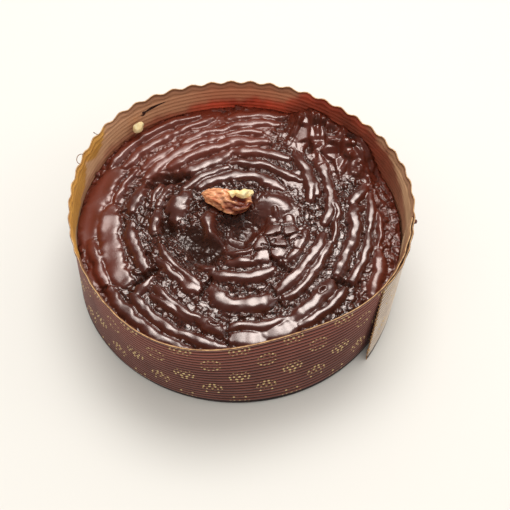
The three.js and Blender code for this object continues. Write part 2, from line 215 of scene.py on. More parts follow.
# Foot, lip and ribs of the wall in mm, and the rows of faces that each one has
HEM_WIDTH = 6
HEM_HEIGHT = 1.1
CORNER = 1.2
CORNER_LOW = 0.55
FREE_FOOT = 0.4
SCALLOP_RISE = 0.8
LIP_CURVE = 1.2
SIDE_FLARE = 0.55
COLUMNS_PER_SCALLOP = 6
RIB_PITCH = 2.6
RIB_ROWS = 6
RIB_STEP = RIB_PITCH / RIB_ROWS
RIB_SHARPNESS = 0.8
RIB_FADE = (1.5, 4)
# heights in mm over which the painted shadow at the foot fades out upwards
FOOT_SHADOW_FADE = (0.5, 4)
RIBBED_ROWS = 15 * RIB_ROWS
HEM_ROWS = 3
CORNER_ROWS = 4
SIDE_ROWS = RIBBED_ROWS + 22
LIP_ROWS = 8
WALL_ROWS = HEM_ROWS + CORNER_ROWS + SIDE_ROWS + LIP_ROWS

# Body of the cake: gap to the wall, heights, dome and tilt, mean radius, centre of its rings
CAKE_GAP = 0.2
CAKE_BOTTOM = 1.75
CAKE_EDGE = 33.2
CAKE_DOME = 2.6
CAKE_TILT = 1
CAKE_TILT_ANGLE = 20
CAKE_RADIUS = 84.2
RING_CENTRE_Y = -1.5
TOP_CELLS = 304

# Piping: points of a stroke, how its ends taper and neighbours fuse, how far the skin has slumped
STROKE_POINTS = 14
END_TAPER = 6
FUSE = 0.6
SLUMP = 0.12

# Unevenness of the strokes: share of their height, swelling as a share of the width and its length
STROKE_TALL = (0.85, 1.1)
SWELLS = [(0.10, 19), (0.04, 8)]
RAGGED = 0.06
PIPING_SEED = 11
RIPPLE_WAVES = 7

# Broken skin: width of the field of chips, blend and break between chips as shares of their size
FIELD = 2 * 290
CHIP_BLEND = 0.06
CHIP_BREAK = 0.18
BREAK_DEPTH = 0.8

# Crumb: radius within which it isn't drawn out, how far it is outside, size and spreads of its chips
CRUMB_PLAIN = 26
CRUMB_DRAWN_OUT = 1.4
CRUMB_CHIPS = [(3.4, 0.2, 0.5), (1.7, 0.16, 0.2)]

# Level slabs of skin near the middle: size, spread of slopes and of heights
SLAB_SIZE = 8.5
SLAB_LEAN = 0.06
SLAB_LIFT = 0.35
SLAB_SEED = 5

# The lifted crust: where it is, how high, how matt, and the plates that it has broken into
CRUST_FROM = 30
CRUST_TO = 67
CRUST_FADE = 7
CRUST_INNER = 55
CRUST_OUTER = 83
CRUST_EDGE = 8
CRUST_RISE = 10
CRUST_MATT = 0.25
CRUST_SEED = 17
PLATE_SIZE = 8
PLATE_LEAN = 0.085
PLATE_TILT = 0.17
PLATE_LIFT = 0.6

# The nut: place, length and turn, and along it the reach to the front and back and the share of height
NUT_PLACE = (-5.8, 12.3, 35.4)
NUT_LENGTH = 27
NUT_TURN = -11.6
NUT_T = (0, 0.04, 0.13, 0.30, 0.46, 0.56, 0.70, 0.82, 0.90, 0.96, 1)
NUT_FRONT = (0, 1.3, 3.6, 6.0, 7.2, 8.8, 8.8, 7.2, 5.4, 3.4, 0)
NUT_BACK = (0, 1.1, 2.4, 3.5, 3.6, 3.8, 4.6, 5.0, 4.2, 2.6, 0)
NUT_CROWN = (0, 0.42, 0.7, 0.92, 1.0, 1.0, 0.95, 0.85, 0.65, 0.45, 0)
NUT_WAIST = 0.42
NUT_BED = 0.65
NUT_SEGMENTS = 96
NUT_RINGS = 64

# Broken place in the nut: where along it and across it, half its length and width, depth
SCOOP_ALONG = (0.74, 0.16)
SCOOP_ACROSS = (-1.6, 2.4)
SCOOP_DEPTH = 4.2

# Lumps of flesh along the nut: place on the nut, size along each axis
FLESH = [
    ((2.2, 0.6, 7.4), (5.4, 4.8, 4.2)), ((5.2, 2.0, 7.0), (6.4, 4.4, 4.0)),
    ((8.2, 2.0, 7.2), (8.4, 5.8, 5.0)), ((10.4, 3.4, 7.0), (6.2, 5.4, 5.0)),
]
FLESH_TWIST = 12

# How far from the middle the flat faces of a lump lie, for torn crumb and for broken flesh
TORN = (0.62, 0.9)
BROKEN = (0.5, 0.8)
LUMP_FACES = 9

# The chip on the wall: place, size, turn
CHIP_PLACE = (-55.4, 58.9, 41)
CHIP_SIZE = (7.2, 4.8, 7.4)
CHIP_TURN = 43

# The smear on the wall: angle and height of each end, and its thickness along it
SMEAR_START = (119, 46.2)
SMEAR_END = (130, 44.2)
SMEAR_T = (0, 0.1, 0.5, 0.78, 0.9, 1)
SMEAR_THICK = (0, 0.6, 0.85, 0.75, 1.5, 0)

# Crumbs on the rim: angle, how far out from the lip's start, then each one's offset, size and turn
CRUMB_ANGLE = -9
CRUMB_OUT = 2.4
RIM_CRUMBS = [((0, 0, 1.2), (2.6, 2.2, 3.0), 20), ((-0.6, 1.6, 2.2), (1.8, 1.6, 1.6), 60)]

# Curls of paper: from angle, to angle, how far they stand off and how far the free end rises in mm
CURLS = [(150, 150.8, 1.3, 1.7), (160.6, 164.4, 2.6, 0)]

# Radius of a curl in mm, and its handles and droop as shares of how far it stands off
CURL_RADIUS = 0.2
CURL_HANDLE = 1.33
CURL_DROOP = 0.4

# Stage, in metres: width of the floor, each light's size and place, and the point that they face
FLOOR_SIZE = 6
SOFTBOX = ((0.85, 0.6), (0.05, 0.4, 1.2))
WINDOW = ((0.54, 0.46), (0.18, 0.57, 1.23))
GLOW = ((0.9, 0.8), (0.12, 0.63, 1.23))
KEY = ((0.4, 0.5), (1.1, 0.0, 0.7))
LIGHT_TARGET = (0, 0, 0.04)

# Direction of the bright side of the room, the white of its walls, and the camera's sensor in mm
BRIGHT_SIDE = (0.0, 0.75, 0.66)
WALL_WHITE = "#FFFDFA"
SENSOR = 36


def linear(code):
    """Linear RGBA of an sRGB hex colour."""
    parts = [int(code[i:i + 2], 16) / 255 for i in (1, 3, 5)]
    return [p / 12.92 if p <= 0.04045 else ((p + 0.055) / 1.055) ** 2.4 for p in parts] + [1.0]


def add_node(tree, kind, sockets=None, **settings):
    """Adds a node with its settings. Sockets get a value, or a link where they are given an output."""
    node = tree.nodes.new(kind)
    for name, value in settings.items():
        setattr(node, name, value)
    for key, value in (sockets or {}).items():
        if isinstance(value, bpy.types.NodeSocket):
            tree.links.new(value, node.inputs[key])
        else:
            node.inputs[key].default_value = value
    return node


def per_mm(size):
    """Texture scale that gives a pattern of that size in mm on coordinates in metres."""
    return 1 / (size * MM)


def start_material(name):
    """A new material with an empty node tree."""
    material = bpy.data.materials.new(name)
    material.use_nodes = True
    material.node_tree.nodes.clear()
    return material, material.node_tree


# Materials


def chocolate_material(settings):
    """Melted chocolate over brownie crumb: satin where it was piped, dark, wet and lumpy between, with
    painted shade in its hollows and cracks.
    """
    material, tree = start_material("melted_chocolate_on_brownie_crumb")
    place = add_node(tree, "ShaderNodeTexCoord").outputs["Object"]
    piped, matt, wet, sunken = (
        add_node(tree, "ShaderNodeAttribute", attribute_name=name).outputs["Fac"]
        for name in ("piped", "matt", "wet", "sunken")
    )
    # cocoa blotches of about 9 mm, grains of the crumb, and the uneven skin of set chocolate
    blotch, grain, skin = (
        add_node(tree, "ShaderNodeTexNoise", {
            "Vector": place, "Scale": per_mm(size), "Detail": detail,
        }).outputs["Fac"]
        for size, detail in ((9, 3.0), (1.1, 2.0), (3.5, 2.0))
    )
    specks = add_node(tree, "ShaderNodeMapRange", {"Value": grain, "From Min": 0.35, "From Max": 0.65})
    smooth = add_node(tree, "ShaderNodeMix", {
        "Factor": blotch, "A": linear(settings.piped_dark), "B": linear(settings.piped_light),
    }, data_type="RGBA")
    # over the dark crumb: its light specks, piped chocolate, dried film, and painted shade in the hollows,
    # cracks and breaks
    colour = linear(settings.crumb_dark)
    for share, over in (
        (specks.outputs["Result"], linear(settings.crumb_light)),
        (piped, smooth.outputs["Result"]),
        (matt, linear(settings.film)),
        (sunken, linear(settings.crumb_in_shade)),
    ):
        colour = add_node(tree, "ShaderNodeMix", {
            "Factor": share, "A": colour, "B": over,
        }, data_type="RGBA").outputs["Result"]
    roughness = settings.crumb_roughness
    for share, over in (
        (piped, settings.gloss_roughness),
        (matt, settings.matt_roughness),
        (sunken, settings.deep_roughness),
    ):
        roughness = add_node(tree, "ShaderNodeMapRange", {
            "Value": share, "To Min": roughness, "To Max": over,
        }).outputs["Result"]
    grain_depth = add_node(tree, "ShaderNodeMapRange", {"Value": piped, "To Min": 0.4, "To Max": 0.02})
    grains = add_node(tree, "ShaderNodeBump", {
        "Height": grain, "Strength": grain_depth.outputs["Result"], "Distance": 0.4 * MM,
    })
    uneven = add_node(tree, "ShaderNodeBump", {
        "Height": skin, "Strength": 0.4, "Distance": 0.35 * MM, "Normal": grains.outputs["Normal"],
    })
    shader = add_node(tree, "ShaderNodeBsdfPrincipled", {
        "Base Color": colour,
        "Roughness": roughness,
        "IOR": 1.5,
        "Coat Weight": wet,
        "Coat Roughness": 0.2,
        "Normal": uneven.outputs["Normal"],
    })
    add_node(tree, "ShaderNodeOutputMaterial", {"Surface": shader.outputs["BSDF"]})
    return material


def printed_paper_material(settings):
    """Ribbed greaseproof paper, printed outside: matt brown, with gold ink that catches on the ribs.
    Painted shade darkens the grooves and the foot, and painted light lightens the ink on the crests, the
    lap and the upper part.
    """
    material, tree = start_material("printed_greaseproof_paper")
    rib, lap_lit = (
        add_node(tree, "ShaderNodeAttribute", attribute_name=name).outputs["Fac"]
        for name in ("rib", "lap_lit")
    )
    flat = add_node(tree, "ShaderNodeUVMap", uv_map="paper").outputs["UV"]
    split = add_node(tree, "ShaderNodeSeparateXYZ", {"Vector": flat})
    # the flat strip is measured in metres, so the repeat is a number of metres too
    row = add_node(tree, "ShaderNodeMath", {
        0: split.outputs["Y"], 1: settings.print_row,
    }, operation="DIVIDE").outputs["Value"]
    row_number = add_node(tree, "ShaderNodeMath", {0: row}, operation="FLOOR").outputs["Value"]
    column = add_node(tree, "ShaderNodeMath", {
        0: split.outputs["X"], 1: settings.print_repeat,
    }, operation="DIVIDE").outputs["Value"]
    # each row is shifted by half a repeat
    shifted = add_node(tree, "ShaderNodeMath", {
        0: row_number, 1: 0.5, 2: column,
    }, operation="MULTIPLY_ADD").outputs["Value"]
    across, upward = (
        add_node(tree, "ShaderNodeMath", {0: value}, operation="FRACT").outputs["Value"]
        for value in (shifted, row)
    )
    cell = add_node(tree, "ShaderNodeCombineXYZ", {"X": across, "Y": upward}).outputs["Vector"]
    centred = add_node(tree, "ShaderNodeVectorMath", {
        0: cell, 1: (0.5, 0.5, 0.0),
    }, operation="SUBTRACT").outputs["Vector"]
    motif = add_node(tree, "ShaderNodeVectorMath", {
        0: centred, 1: (settings.print_repeat, settings.print_row, 0.0),
    }, operation="MULTIPLY").outputs["Vector"]
    distance = add_node(tree, "ShaderNodeVectorMath", {0: motif}, operation="LENGTH").outputs["Value"]
    axes = add_node(tree, "ShaderNodeSeparateXYZ", {"Vector": motif})
    bearing = add_node(tree, "ShaderNodeMath", {
        0: axes.outputs["Y"], 1: axes.outputs["X"],
    }, operation="ARCTAN2").outputs["Value"]
    # a rosette: a dot in the middle, and rings of dots round it
    ink = add_node(tree, "ShaderNodeMath", {
        0: distance, 1: ROSETTE_DOT * MM,
    }, operation="LESS_THAN").outputs["Value"]
    for radius, dots in ROSETTE_RINGS:
        turn = add_node(tree, "ShaderNodeMath", {0: bearing, 1: dots}, operation="MULTIPLY")
        beat = add_node(tree, "ShaderNodeMath", {0: turn.outputs["Value"]}, operation="COSINE")
        dotted = add_node(tree, "ShaderNodeMath", {
            0: beat.outputs["Value"], 1: 0.1,
        }, operation="GREATER_THAN")
        ring = add_node(tree, "ShaderNodeMath", {
            0: distance, 1: radius * MM, 2: ROSETTE_LINE * MM,
        }, operation="COMPARE")
        arc = add_node(tree, "ShaderNodeMath", {
            0: ring.outputs["Value"], 1: dotted.outputs["Value"],
        }, operation="MULTIPLY")
        ink = add_node(tree, "ShaderNodeMath", {
            0: ink, 1: arc.outputs["Value"],
        }, operation="MAXIMUM").outputs["Value"]
    # painted light and shade: the ink is painted pale where a rib's crest catches the light, and khaki in
    # the shaded groove beside it
    crest = add_node(tree, "ShaderNodeMapRange", {"Value": rib, "From Min": 0.5, "From Max": 0.95})
    gold = add_node(tree, "ShaderNodeMix", {
        "Factor": crest.outputs["Result"], "A": linear(settings.ink_shaded), "B": linear(settings.ink),
    }, data_type="RGBA")
    place = add_node(tree, "ShaderNodeTexCoord").outputs["Object"]
    # blotches of about 14 mm, and fibres of the paper
    mottle, fibre = (
        add_node(tree, "ShaderNodeTexNoise", {
            "Vector": place, "Scale": per_mm(size), "Detail": detail,
        }).outputs["Fac"]
        for size, detail in ((14, 4.0), (0.8, 2.0))
    )
    # light that comes through the paper above the cake warms the upper part
    upper = add_node(tree, "ShaderNodeMapRange", {
        "Value": split.outputs["Y"], "From Min": 6 * MM, "From Max": 30 * MM, "To Min": 0.45, "To Max": 0.0,
    })
    # painted shade: the grooves between the ribs, and the foot where the ribs die out, are painted nearly
    # black
    groove_shade = add_node(tree, "ShaderNodeMapRange", {
        "Value": rib, "From Min": 0.42, "From Max": 0.98, "To Min": 1.0, "To Max": 0.0,
    })
    patchy = add_node(tree, "ShaderNodeMapRange", {
        "Value": mottle, "From Min": 0.35, "From Max": 0.6, "To Min": 0.7, "To Max": 1.0,
    })
    # painted light: the outside of the lap is painted paler in patches, where the light from the right
    # catches it
    lap_lit_share = add_node(tree, "ShaderNodeMath", {0: lap_lit, 1: patchy.outputs["Result"]}, operation="MULTIPLY")
    colour = linear(settings.outside_dark)
    for share, over in (
        (mottle, linear(settings.outside_light)),
        (upper.outputs["Result"], linear(settings.outside_upper)),
        (lap_lit_share.outputs["Value"], linear(settings.outside_lap_lit)),
        (groove_shade.outputs["Result"], linear(settings.groove_shade)),
        (ink, gold.outputs["Result"]),
    ):
        colour = add_node(tree, "ShaderNodeMix", {
            "Factor": share, "A": colour, "B": over,
        }, data_type="RGBA").outputs["Result"]
    bump = add_node(tree, "ShaderNodeBump", {"Height": fibre, "Strength": 0.3, "Distance": 0.2 * MM})
    shader = add_node(tree, "ShaderNodeBsdfPrincipled", {
        "Base Color": colour,
        "Roughness": 0.6,
        "IOR": 1.3,
        "Sheen Weight": 0.14,
        "Sheen Roughness": 0.5,
        "Normal": bump.outputs["Normal"],
    })
    add_node(tree, "ShaderNodeOutputMaterial", {"Surface": shader.outputs["BSDF"]})
    return material


def plain_paper_material(settings):
    """The bare inside of the same paper: taupe and matt, red with soaked chocolate, amber with syrup.
    Painted shade darkens the inside of the lip and the ribs, and a painted glow of light through the paper
    lightens the syrup.
    """
    material, tree = start_material("bare_greaseproof_paper")
    place = add_node(tree, "ShaderNodeTexCoord").outputs["Object"]
    rib, rim, stain, redness, syrup = (
        add_node(tree, "ShaderNodeAttribute", attribute_name=name).outputs["Fac"]
        for name in ("rib", "rim", "stain", "redness", "syrup")
    )
    # blotches of about 11 mm, and fibres of the paper
    mottle, fibre = (
        add_node(tree, "ShaderNodeTexNoise", {
            "Vector": place, "Scale": per_mm(size), "Detail": detail,
        }).outputs["Fac"]
        for size, detail in ((11, 4.0), (0.8, 2.0))
    )
    patches = add_node(tree, "ShaderNodeMapRange", {"Value": mottle, "From Min": 0.35, "From Max": 0.65})
    # the amber is partly the paper's own soaking with syrup, partly a painted glow of light coming through
    # it
    red, amber = (
        add_node(tree, "ShaderNodeMix", {
            "Factor": share, "A": linear(dark), "B": linear(light),
        }, data_type="RGBA").outputs["Result"]
        for share, dark, light in (
            (patches.outputs["Result"], settings.stain_dark, settings.stain_light),
            (mottle, settings.syrup_glow_dark, settings.syrup_glow_light),
        )
    )
    soaked = add_node(tree, "ShaderNodeMix", {
        "Factor": redness, "A": linear(settings.stain_brown), "B": red,
    }, data_type="RGBA")
    # painted shade: the inside is darkened along the ribs, in the hollows on this side
    rib_line_shade = add_node(tree, "ShaderNodeMapRange", {"Value": rib, "To Min": 0.0, "To Max": 0.35})
    # over the dark paper: light blotches, painted shade along the ribs, the browned back, painted shade
    # inside the rim, stain, and syrup with its painted glow
    colour = linear(settings.inside_dark)
    for share, over in (
        (mottle, linear(settings.inside_light)),
        (rib_line_shade.outputs["Result"], linear(settings.inside_dark)),
        (redness, linear(settings.inside_back)),
        (rim, linear(settings.inside_rim)),
        (stain, soaked.outputs["Result"]),
        (syrup, amber),
    ):
        colour = add_node(tree, "ShaderNodeMix", {
            "Factor": share, "A": colour, "B": over,
        }, data_type="RGBA").outputs["Result"]
    wet = add_node(tree, "ShaderNodeMath", {0: stain, 1: syrup}, operation="MAXIMUM")
    roughness = add_node(tree, "ShaderNodeMapRange", {
        "Value": wet.outputs["Value"], "To Min": 0.7, "To Max": 0.35,
    })
    bump = add_node(tree, "ShaderNodeBump", {"Height": fibre, "Strength": 0.3, "Distance": 0.2 * MM})
    shader = add_node(tree, "ShaderNodeBsdfPrincipled", {
        "Base Color": colour,
        "Roughness": roughness.outputs["Result"],
        "IOR": 1.35,
        "Normal": bump.outputs["Normal"],
    })
    add_node(tree, "ShaderNodeOutputMaterial", {"Surface": shader.outputs["BSDF"]})
    return material


def flecked_material(name, dark, light, size, roughness, bump_mm, coat=0.0):
    """A plain finish: two close colours in flecks of a size in mm, with a bump of the same grain."""
    material, tree = start_material(name)
    place = add_node(tree, "ShaderNodeTexCoord").outputs["Object"]
    fleck = add_node(tree, "ShaderNodeTexNoise", {"Vector": place, "Scale": per_mm(size), "Detail": 4.0})
    spread = add_node(tree, "ShaderNodeMapRange", {
        "Value": fleck.outputs["Fac"], "From Min": 0.3, "From Max": 0.7,
    })
    colour = add_node(tree, "ShaderNodeMix", {
        "Factor": spread.outputs["Result"], "A": linear(dark), "B": linear(light),
    }, data_type="RGBA")
    bump = add_node(tree, "ShaderNodeBump", {
        "Height": fleck.outputs["Fac"], "Strength": 0.6, "Distance": bump_mm * MM,
    })
    shader = add_node(tree, "ShaderNodeBsdfPrincipled", {
        "Base Color": colour.outputs["Result"],
        "Roughness": roughness,
        "IOR": 1.47,
        "Coat Weight": coat,
        "Coat Roughness": 0.2,
        "Normal": bump.outputs["Normal"],
    })
    add_node(tree, "ShaderNodeOutputMaterial", {"Surface": shader.outputs["BSDF"]})
    return material


def nut_skin_material(settings):
    """Thin papery skin of a nut: orange-tan on top, red-brown in the furrows, slightly oily. The dark of
    the furrows, the broken hollow and the front side is partly the skin's own red-brown, partly painted
    shade.
    """
    material, tree = start_material("nut_skin")
    place = add_node(tree, "ShaderNodeTexCoord").outputs["Object"]
    furrow_and_shade = add_node(tree, "ShaderNodeAttribute", attribute_name="furrow_and_shade").outputs["Fac"]
    # fibres run along the nut, so the noise is drawn out in its length
    along = add_node(tree, "ShaderNodeMapping", {"Vector": place, "Scale": (0.35, 1.0, 1.0)})
    fibre = add_node(tree, "ShaderNodeTexNoise", {
        "Vector": along.outputs["Vector"], "Scale": per_mm(1.6), "Detail": 5.0,
    })
    streaks = add_node(tree, "ShaderNodeMapRange", {
        "Value": fibre.outputs["Fac"], "From Min": 0.3, "From Max": 0.7,
    })
    skin = add_node(tree, "ShaderNodeMix", {
        "Factor": streaks.outputs["Result"],
        "A": linear(settings.skin_dark),
        "B": linear(settings.skin_light),
    }, data_type="RGBA")
    colour = add_node(tree, "ShaderNodeMix", {
        "Factor": furrow_and_shade, "A": skin.outputs["Result"], "B": linear(settings.skin_furrow_and_shade),
    }, data_type="RGBA")
    bump = add_node(tree, "ShaderNodeBump", {
        "Height": fibre.outputs["Fac"], "Strength": 0.8, "Distance": 0.5 * MM,
    })
    shader = add_node(tree, "ShaderNodeBsdfPrincipled", {
        "Base Color": colour.outputs["Result"],
        "Roughness": 0.38,
        "IOR": 1.47,
        "Coat Weight": 0.35,
        "Coat Roughness": 0.22,
        "Normal": bump.outputs["Normal"],
    })
    add_node(tree, "ShaderNodeOutputMaterial", {"Surface": shader.outputs["BSDF"]})
    return material


# Mesh helpers


def begin():
    """Leaves edit mode and selects nothing, so that the next operator acts on its own piece alone."""
    if bpy.context.object and bpy.context.object.mode != "OBJECT":
        bpy.ops.object.mode_set(mode="OBJECT")
    bpy.ops.object.select_all(action="DESELECT")


def added(name):
    """Names the primitive that was just added."""
    piece = bpy.context.object
    piece.name = name
    piece.data.name = name
    return piece


def places(piece):
    """The piece's vertices in mm."""
    flat = np.empty(len(piece.data.vertices) * 3, np.float32)
    piece.data.vertices.foreach_get("co", flat)
    return flat.reshape(-1, 3).astype(float) / MM


def put(piece, places_mm):
    """Moves the piece's vertices to places in mm."""
    piece.data.vertices.foreach_set("co", (places_mm * MM).astype(np.float32).ravel())
    piece.data.update()


def paint(piece, name, values):
    """Stores one number per vertex as an attribute."""
    layer = piece.data.attributes.new(name, "FLOAT", "POINT")
    layer.data.foreach_set("value", np.asarray(values, np.float32))


def roughen(piece, name, kind, size, depth, **settings):
    """Displaces the piece along its normals by a texture of a size and depth in mm, and applies it."""
    texture = bpy.data.textures.new(name, type=kind)
    texture.noise_scale = size * MM
    for key, value in settings.items():
        setattr(texture, key, value)
    modifier = piece.modifiers.new(name, "DISPLACE")
    modifier.texture = texture
    modifier.texture_coords = "LOCAL"
    modifier.strength = depth * MM
    bpy.context.view_layer.objects.active = piece
    bpy.ops.object.modifier_apply(modifier=modifier.name)


def finish_piece(piece, materials, replaced=()):
    """Smooth shading, materials, and the piece's place in the frame."""
    begin()
    piece.select_set(True)
    bpy.context.view_layer.objects.active = piece
    bpy.ops.object.shade_smooth()
    for material in materials:
        piece.data.materials.append(material)
    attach(piece, BODY)
    if replaced:
        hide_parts(*replaced)


# Shaping helpers


def smoothstep(value, low, high):
    """Eased step from 0 at low to 1 at high, where low may be the larger."""
    t = np.clip((value - low) / (high - low), 0, 1)
    return t * t * (3 - 2 * t)


def lerp(a, b, t):
    """The value a share t of the way from a to b."""
    return a + (b - a) * t


def smooth_max(a, b, blend):
    """The larger of two heights, fused over a blend in the same unit."""
    near = np.maximum(blend - np.abs(a - b), 0) / blend
    return np.maximum(a, b) + near * near * blend / 4


def round_table(table, degrees, column):
    """A column of a table by angle, carried round the full circle."""
    angles = [row[0] for row in table]
    return np.interp(degrees % 360, angles, [row[column] for row in table], period=360)


def sector(degrees, start, end, fade):
    """1 between two angles and 0 outside them, eased over a fade in degrees."""
    off = np.abs((degrees - (start + end) / 2 + 180) % 360 - 180)
    half = (end - start) / 2
    return 1 - smoothstep(off, half - fade / 2, half + fade / 2)


def turned_to(place, x, y, z, degrees):
    """Places in mm of a shape that is turned about the vertical and moved to a place."""
    turn = math.radians(degrees)
    return np.stack([
        place[0] + x * math.cos(turn) - y * math.sin(turn),
        place[1] + x * math.sin(turn) + y * math.cos(turn),
        place[2] + z,
    ], axis=1)


def turned_offsets(points, middle, degrees):
    """How far points are from a middle, along a direction in degrees and across it."""
    turn = math.radians(degrees)
    offset = points - middle
    return offset @ (math.cos(turn), math.sin(turn)), offset @ (-math.sin(turn), math.cos(turn))


# The paper case


def waves(table, angle):
    """The sum of a table of waves round the case, in mm."""
    return sum(size * np.cos(order * (angle - math.radians(crest))) for order, size, crest in table)


def lip_flare(case, angle):
    """Angle of the lip from upright. It leans out most at the front."""
    return case.lip_flare * lerp(SIDE_FLARE, 1, np.clip(-np.sin(angle), 0, 1) ** 4)


def lip_start(case, angle):
    """Radius and height in mm where the wall turns outwards into its lip."""
    radius = case.rim_radius / MM + waves(RIM_RADIUS_WAVES, angle)
    height = case.height / MM + waves(RIM_HEIGHT_WAVES, angle)
    reach = case.lip_length / MM
    flare = lip_flare(case, angle)
    return radius - reach * np.sin(flare), height - reach * np.cos(flare)


def wall_radius(case, angle, height):
    """Radius in mm of the middle of the paper, at a height in mm."""
    lip_radius, lip_height = lip_start(case, angle)
    return lerp(case.base_radius / MM, lip_radius, height / lip_height)


def wind_strip(case, along, row):
    """Winds the flat strip into the wall. along is 0 to 1 from the outer end, row 0 to 1 from the hem.

    Returns each point's place in mm, its travel round from the inner end, how far below the lip it is in
    mm, where it is on its rib (0 valley, 1 crest), and its angle about the case."""
    turn = 2 * math.pi
    lap = math.radians(LAP_ANGLE)
    travel = (1 - along) * (turn + lap)
    angle = math.radians(LAP_INNER_END) - travel
    onto = smoothstep(travel, turn - math.radians(LAP_RAMP_ANGLE), turn)
    free = np.clip((travel - turn) / lap, 0, 1)
    lip_radius, lip_height = lip_start(case, angle)
    base = case.base_radius / MM

    index = row * WALL_ROWS
    hem = np.clip(index / HEM_ROWS, 0, 1)
    corner = np.clip((index - HEM_ROWS) / CORNER_ROWS, 0, 1)
    wall = np.clip((index - HEM_ROWS - CORNER_ROWS) / SIDE_ROWS, 0, 1)
    lip = np.clip((index - HEM_ROWS - CORNER_ROWS - SIDE_ROWS) / LIP_ROWS, 0, 1)

    # folded foot: the hem lies inwards, then the corner turns up into the wall
    fold = corner * math.pi / 2
    foot_radius = lerp(base - HEM_WIDTH, base - CORNER, hem) + CORNER * np.sin(fold)
    foot_height = lerp(HEM_HEIGHT, CORNER_LOW, hem ** 3) + CORNER * (1 - np.cos(fold))
    # the outer end has no hem, and its foot hangs straight down
    foot_radius = lerp(foot_radius, base, onto)
    hanging = lerp(CORNER_LOW + FREE_FOOT, CORNER_LOW + CORNER, (hem + corner) / 2)
    foot_height = lerp(foot_height, hanging, onto)

    # rows follow the ribs down from the lip, and the last ones close up on the foot
    down = (1 - wall) * SIDE_ROWS
    ribbed = RIBBED_ROWS * RIB_STEP
    left_over = lip_height - ribbed - CORNER_LOW - CORNER
    foot_share = np.clip((down - RIBBED_ROWS) / (SIDE_ROWS - RIBBED_ROWS), 0, 1)
    up = lip_height - np.minimum(down, RIBBED_ROWS) * RIB_STEP - left_over * foot_share
    radius = np.where(wall > 0, lerp(base, lip_radius, up / lip_height), foot_radius)
    height = np.where(wall > 0, up, foot_height)

    # lip: it leaves the wall upright and ends flared, with a scalloped edge
    reach = case.lip_length / MM + SCALLOP_RISE * np.cos(case.scallops * travel)
    flare = lip_flare(case, angle)
    radius = radius + reach * np.sin(flare) * lip ** LIP_CURVE
    height = height + reach * np.cos(flare) * lip
    below = np.where(lip > 0, reach * (1 - lip), case.lip_length / MM + lip_height - height)

    # ribs run parallel to the rim: broad, with narrow grooves between, and they die out at the foot
    crest = np.abs(np.cos(math.pi * (below - case.lip_length / MM) / RIB_PITCH)) ** RIB_SHARPNESS
    fade = smoothstep(height, *RIB_FADE)
    rib = lerp(1, crest, fade)
    radius = radius + case.rib_depth / MM * (crest - 1) * fade

    share = np.clip(height / lip_height, 0, 1)
    turned = angle + math.radians(LAP_SLANT) * share * free
    away = radius + LAP_STEP * onto + LAP_STAND_OFF * free ** 2 * (1 - share)
    xyz = np.stack([away * np.cos(turned), away * np.sin(turned), height], axis=1)
    return xyz, travel, below, rib, turned


def add_case_wall(case):
    """Winds a grid into the wall, paints its stains, and gives the paper its thickness."""
    begin()
    columns = int(round(COLUMNS_PER_SCALLOP * case.scallops * (1 + LAP_ANGLE / 360)))
    bpy.ops.mesh.primitive_grid_add(x_subdivisions=columns, y_subdivisions=WALL_ROWS, size=2 * MM)
    wall = added("case_wall_ribbed")
    flat = places(wall)
    along = (flat[:, 0] + 1) / 2
    row = (flat[:, 1] + 1) / 2
    xyz, travel, below, rib, angle = wind_strip(case, along, row)
    put(wall, xyz)

    # flat paper coordinates in metres: along the strip, and down from the lip
    corners = np.empty(len(wall.data.loops), np.int32)
    wall.data.loops.foreach_get("vertex_index", corners)
    flat_strip = np.stack([travel * case.rim_radius, below * MM], axis=1)
    layer = wall.data.uv_layers[0]
    layer.name = "paper"
    layer.data.foreach_set("uv", flat_strip[corners].astype(np.float32).ravel())

    degrees = np.degrees(angle)
    height = xyz[:, 2]
    rng = np.random.default_rng(STAIN_SEED)
    drift = sum(
        size * np.cos(order * angle + rng.uniform(0, 2 * math.pi)) for order, size in STAIN_WAVES
    )
    edge = round_table(STAIN, degrees, 1) + drift
    syrup_angles, syrup_edge = zip(*SYRUP)
    lower = np.interp(degrees % 360, syrup_angles, syrup_edge, left=NO_SYRUP, right=NO_SYRUP)
    # painted shade inside the lip, which faces up into the light, and darker paper in a band below the lip
    # at the front
    lip_shade = lerp(SHADED_LIP_LEAST, 1, sector(degrees, *SHADED_LIP)) * smoothstep(below, *LIP_BAND)
    front_darkening = sector(degrees, *DARKENED_FRONT) * smoothstep(below, *FRONT_BAND)
    looks = {
        "stain": smoothstep(edge - height, *STAIN_EDGE) * round_table(STAIN, degrees, 2),
        "syrup": smoothstep(height - lower - SYRUP_WAVER * drift, *SYRUP_EDGE),
        "redness": round_table(STAIN, degrees, 3),
        # painted light from the right, pale on the outside of the lap
        "lap_lit": LAP_LIT * smoothstep(np.degrees(travel), LAP_LIT_FROM, LAP_LIT_TO),
        # rib also carries painted shadow: it falls to 0 at the foot, where the outside is painted dark
        "rib": rib * smoothstep(height, *FOOT_SHADOW_FADE),
        "rim": np.maximum(lip_shade, front_darkening),
    }
    for name, values in looks.items():
        paint(wall, name, values)

    thickness = wall.modifiers.new("paper", "SOLIDIFY")
    thickness.thickness = case.paper
    thickness.offset = 0
    thickness.use_even_offset = True
    thickness.material_offset = 1
    thickness.material_offset_rim = 2
    outside = printed_paper_material(case)
    inside = plain_paper_material(case)
    # cut paper edge: pale and fibrous, it shows as a thin light line round the rim
    edge_paper = flecked_material(
        "cut_paper_edge", case.edge_dark, case.edge_light, size=2.5, roughness=0.7, bump_mm=0.1)
    for material in (outside, inside, edge_paper):
        wall.data.materials.append(material)
    bpy.ops.object.modifier_apply(modifier=thickness.name)
    finish_piece(wall, [], ["case_wall"])


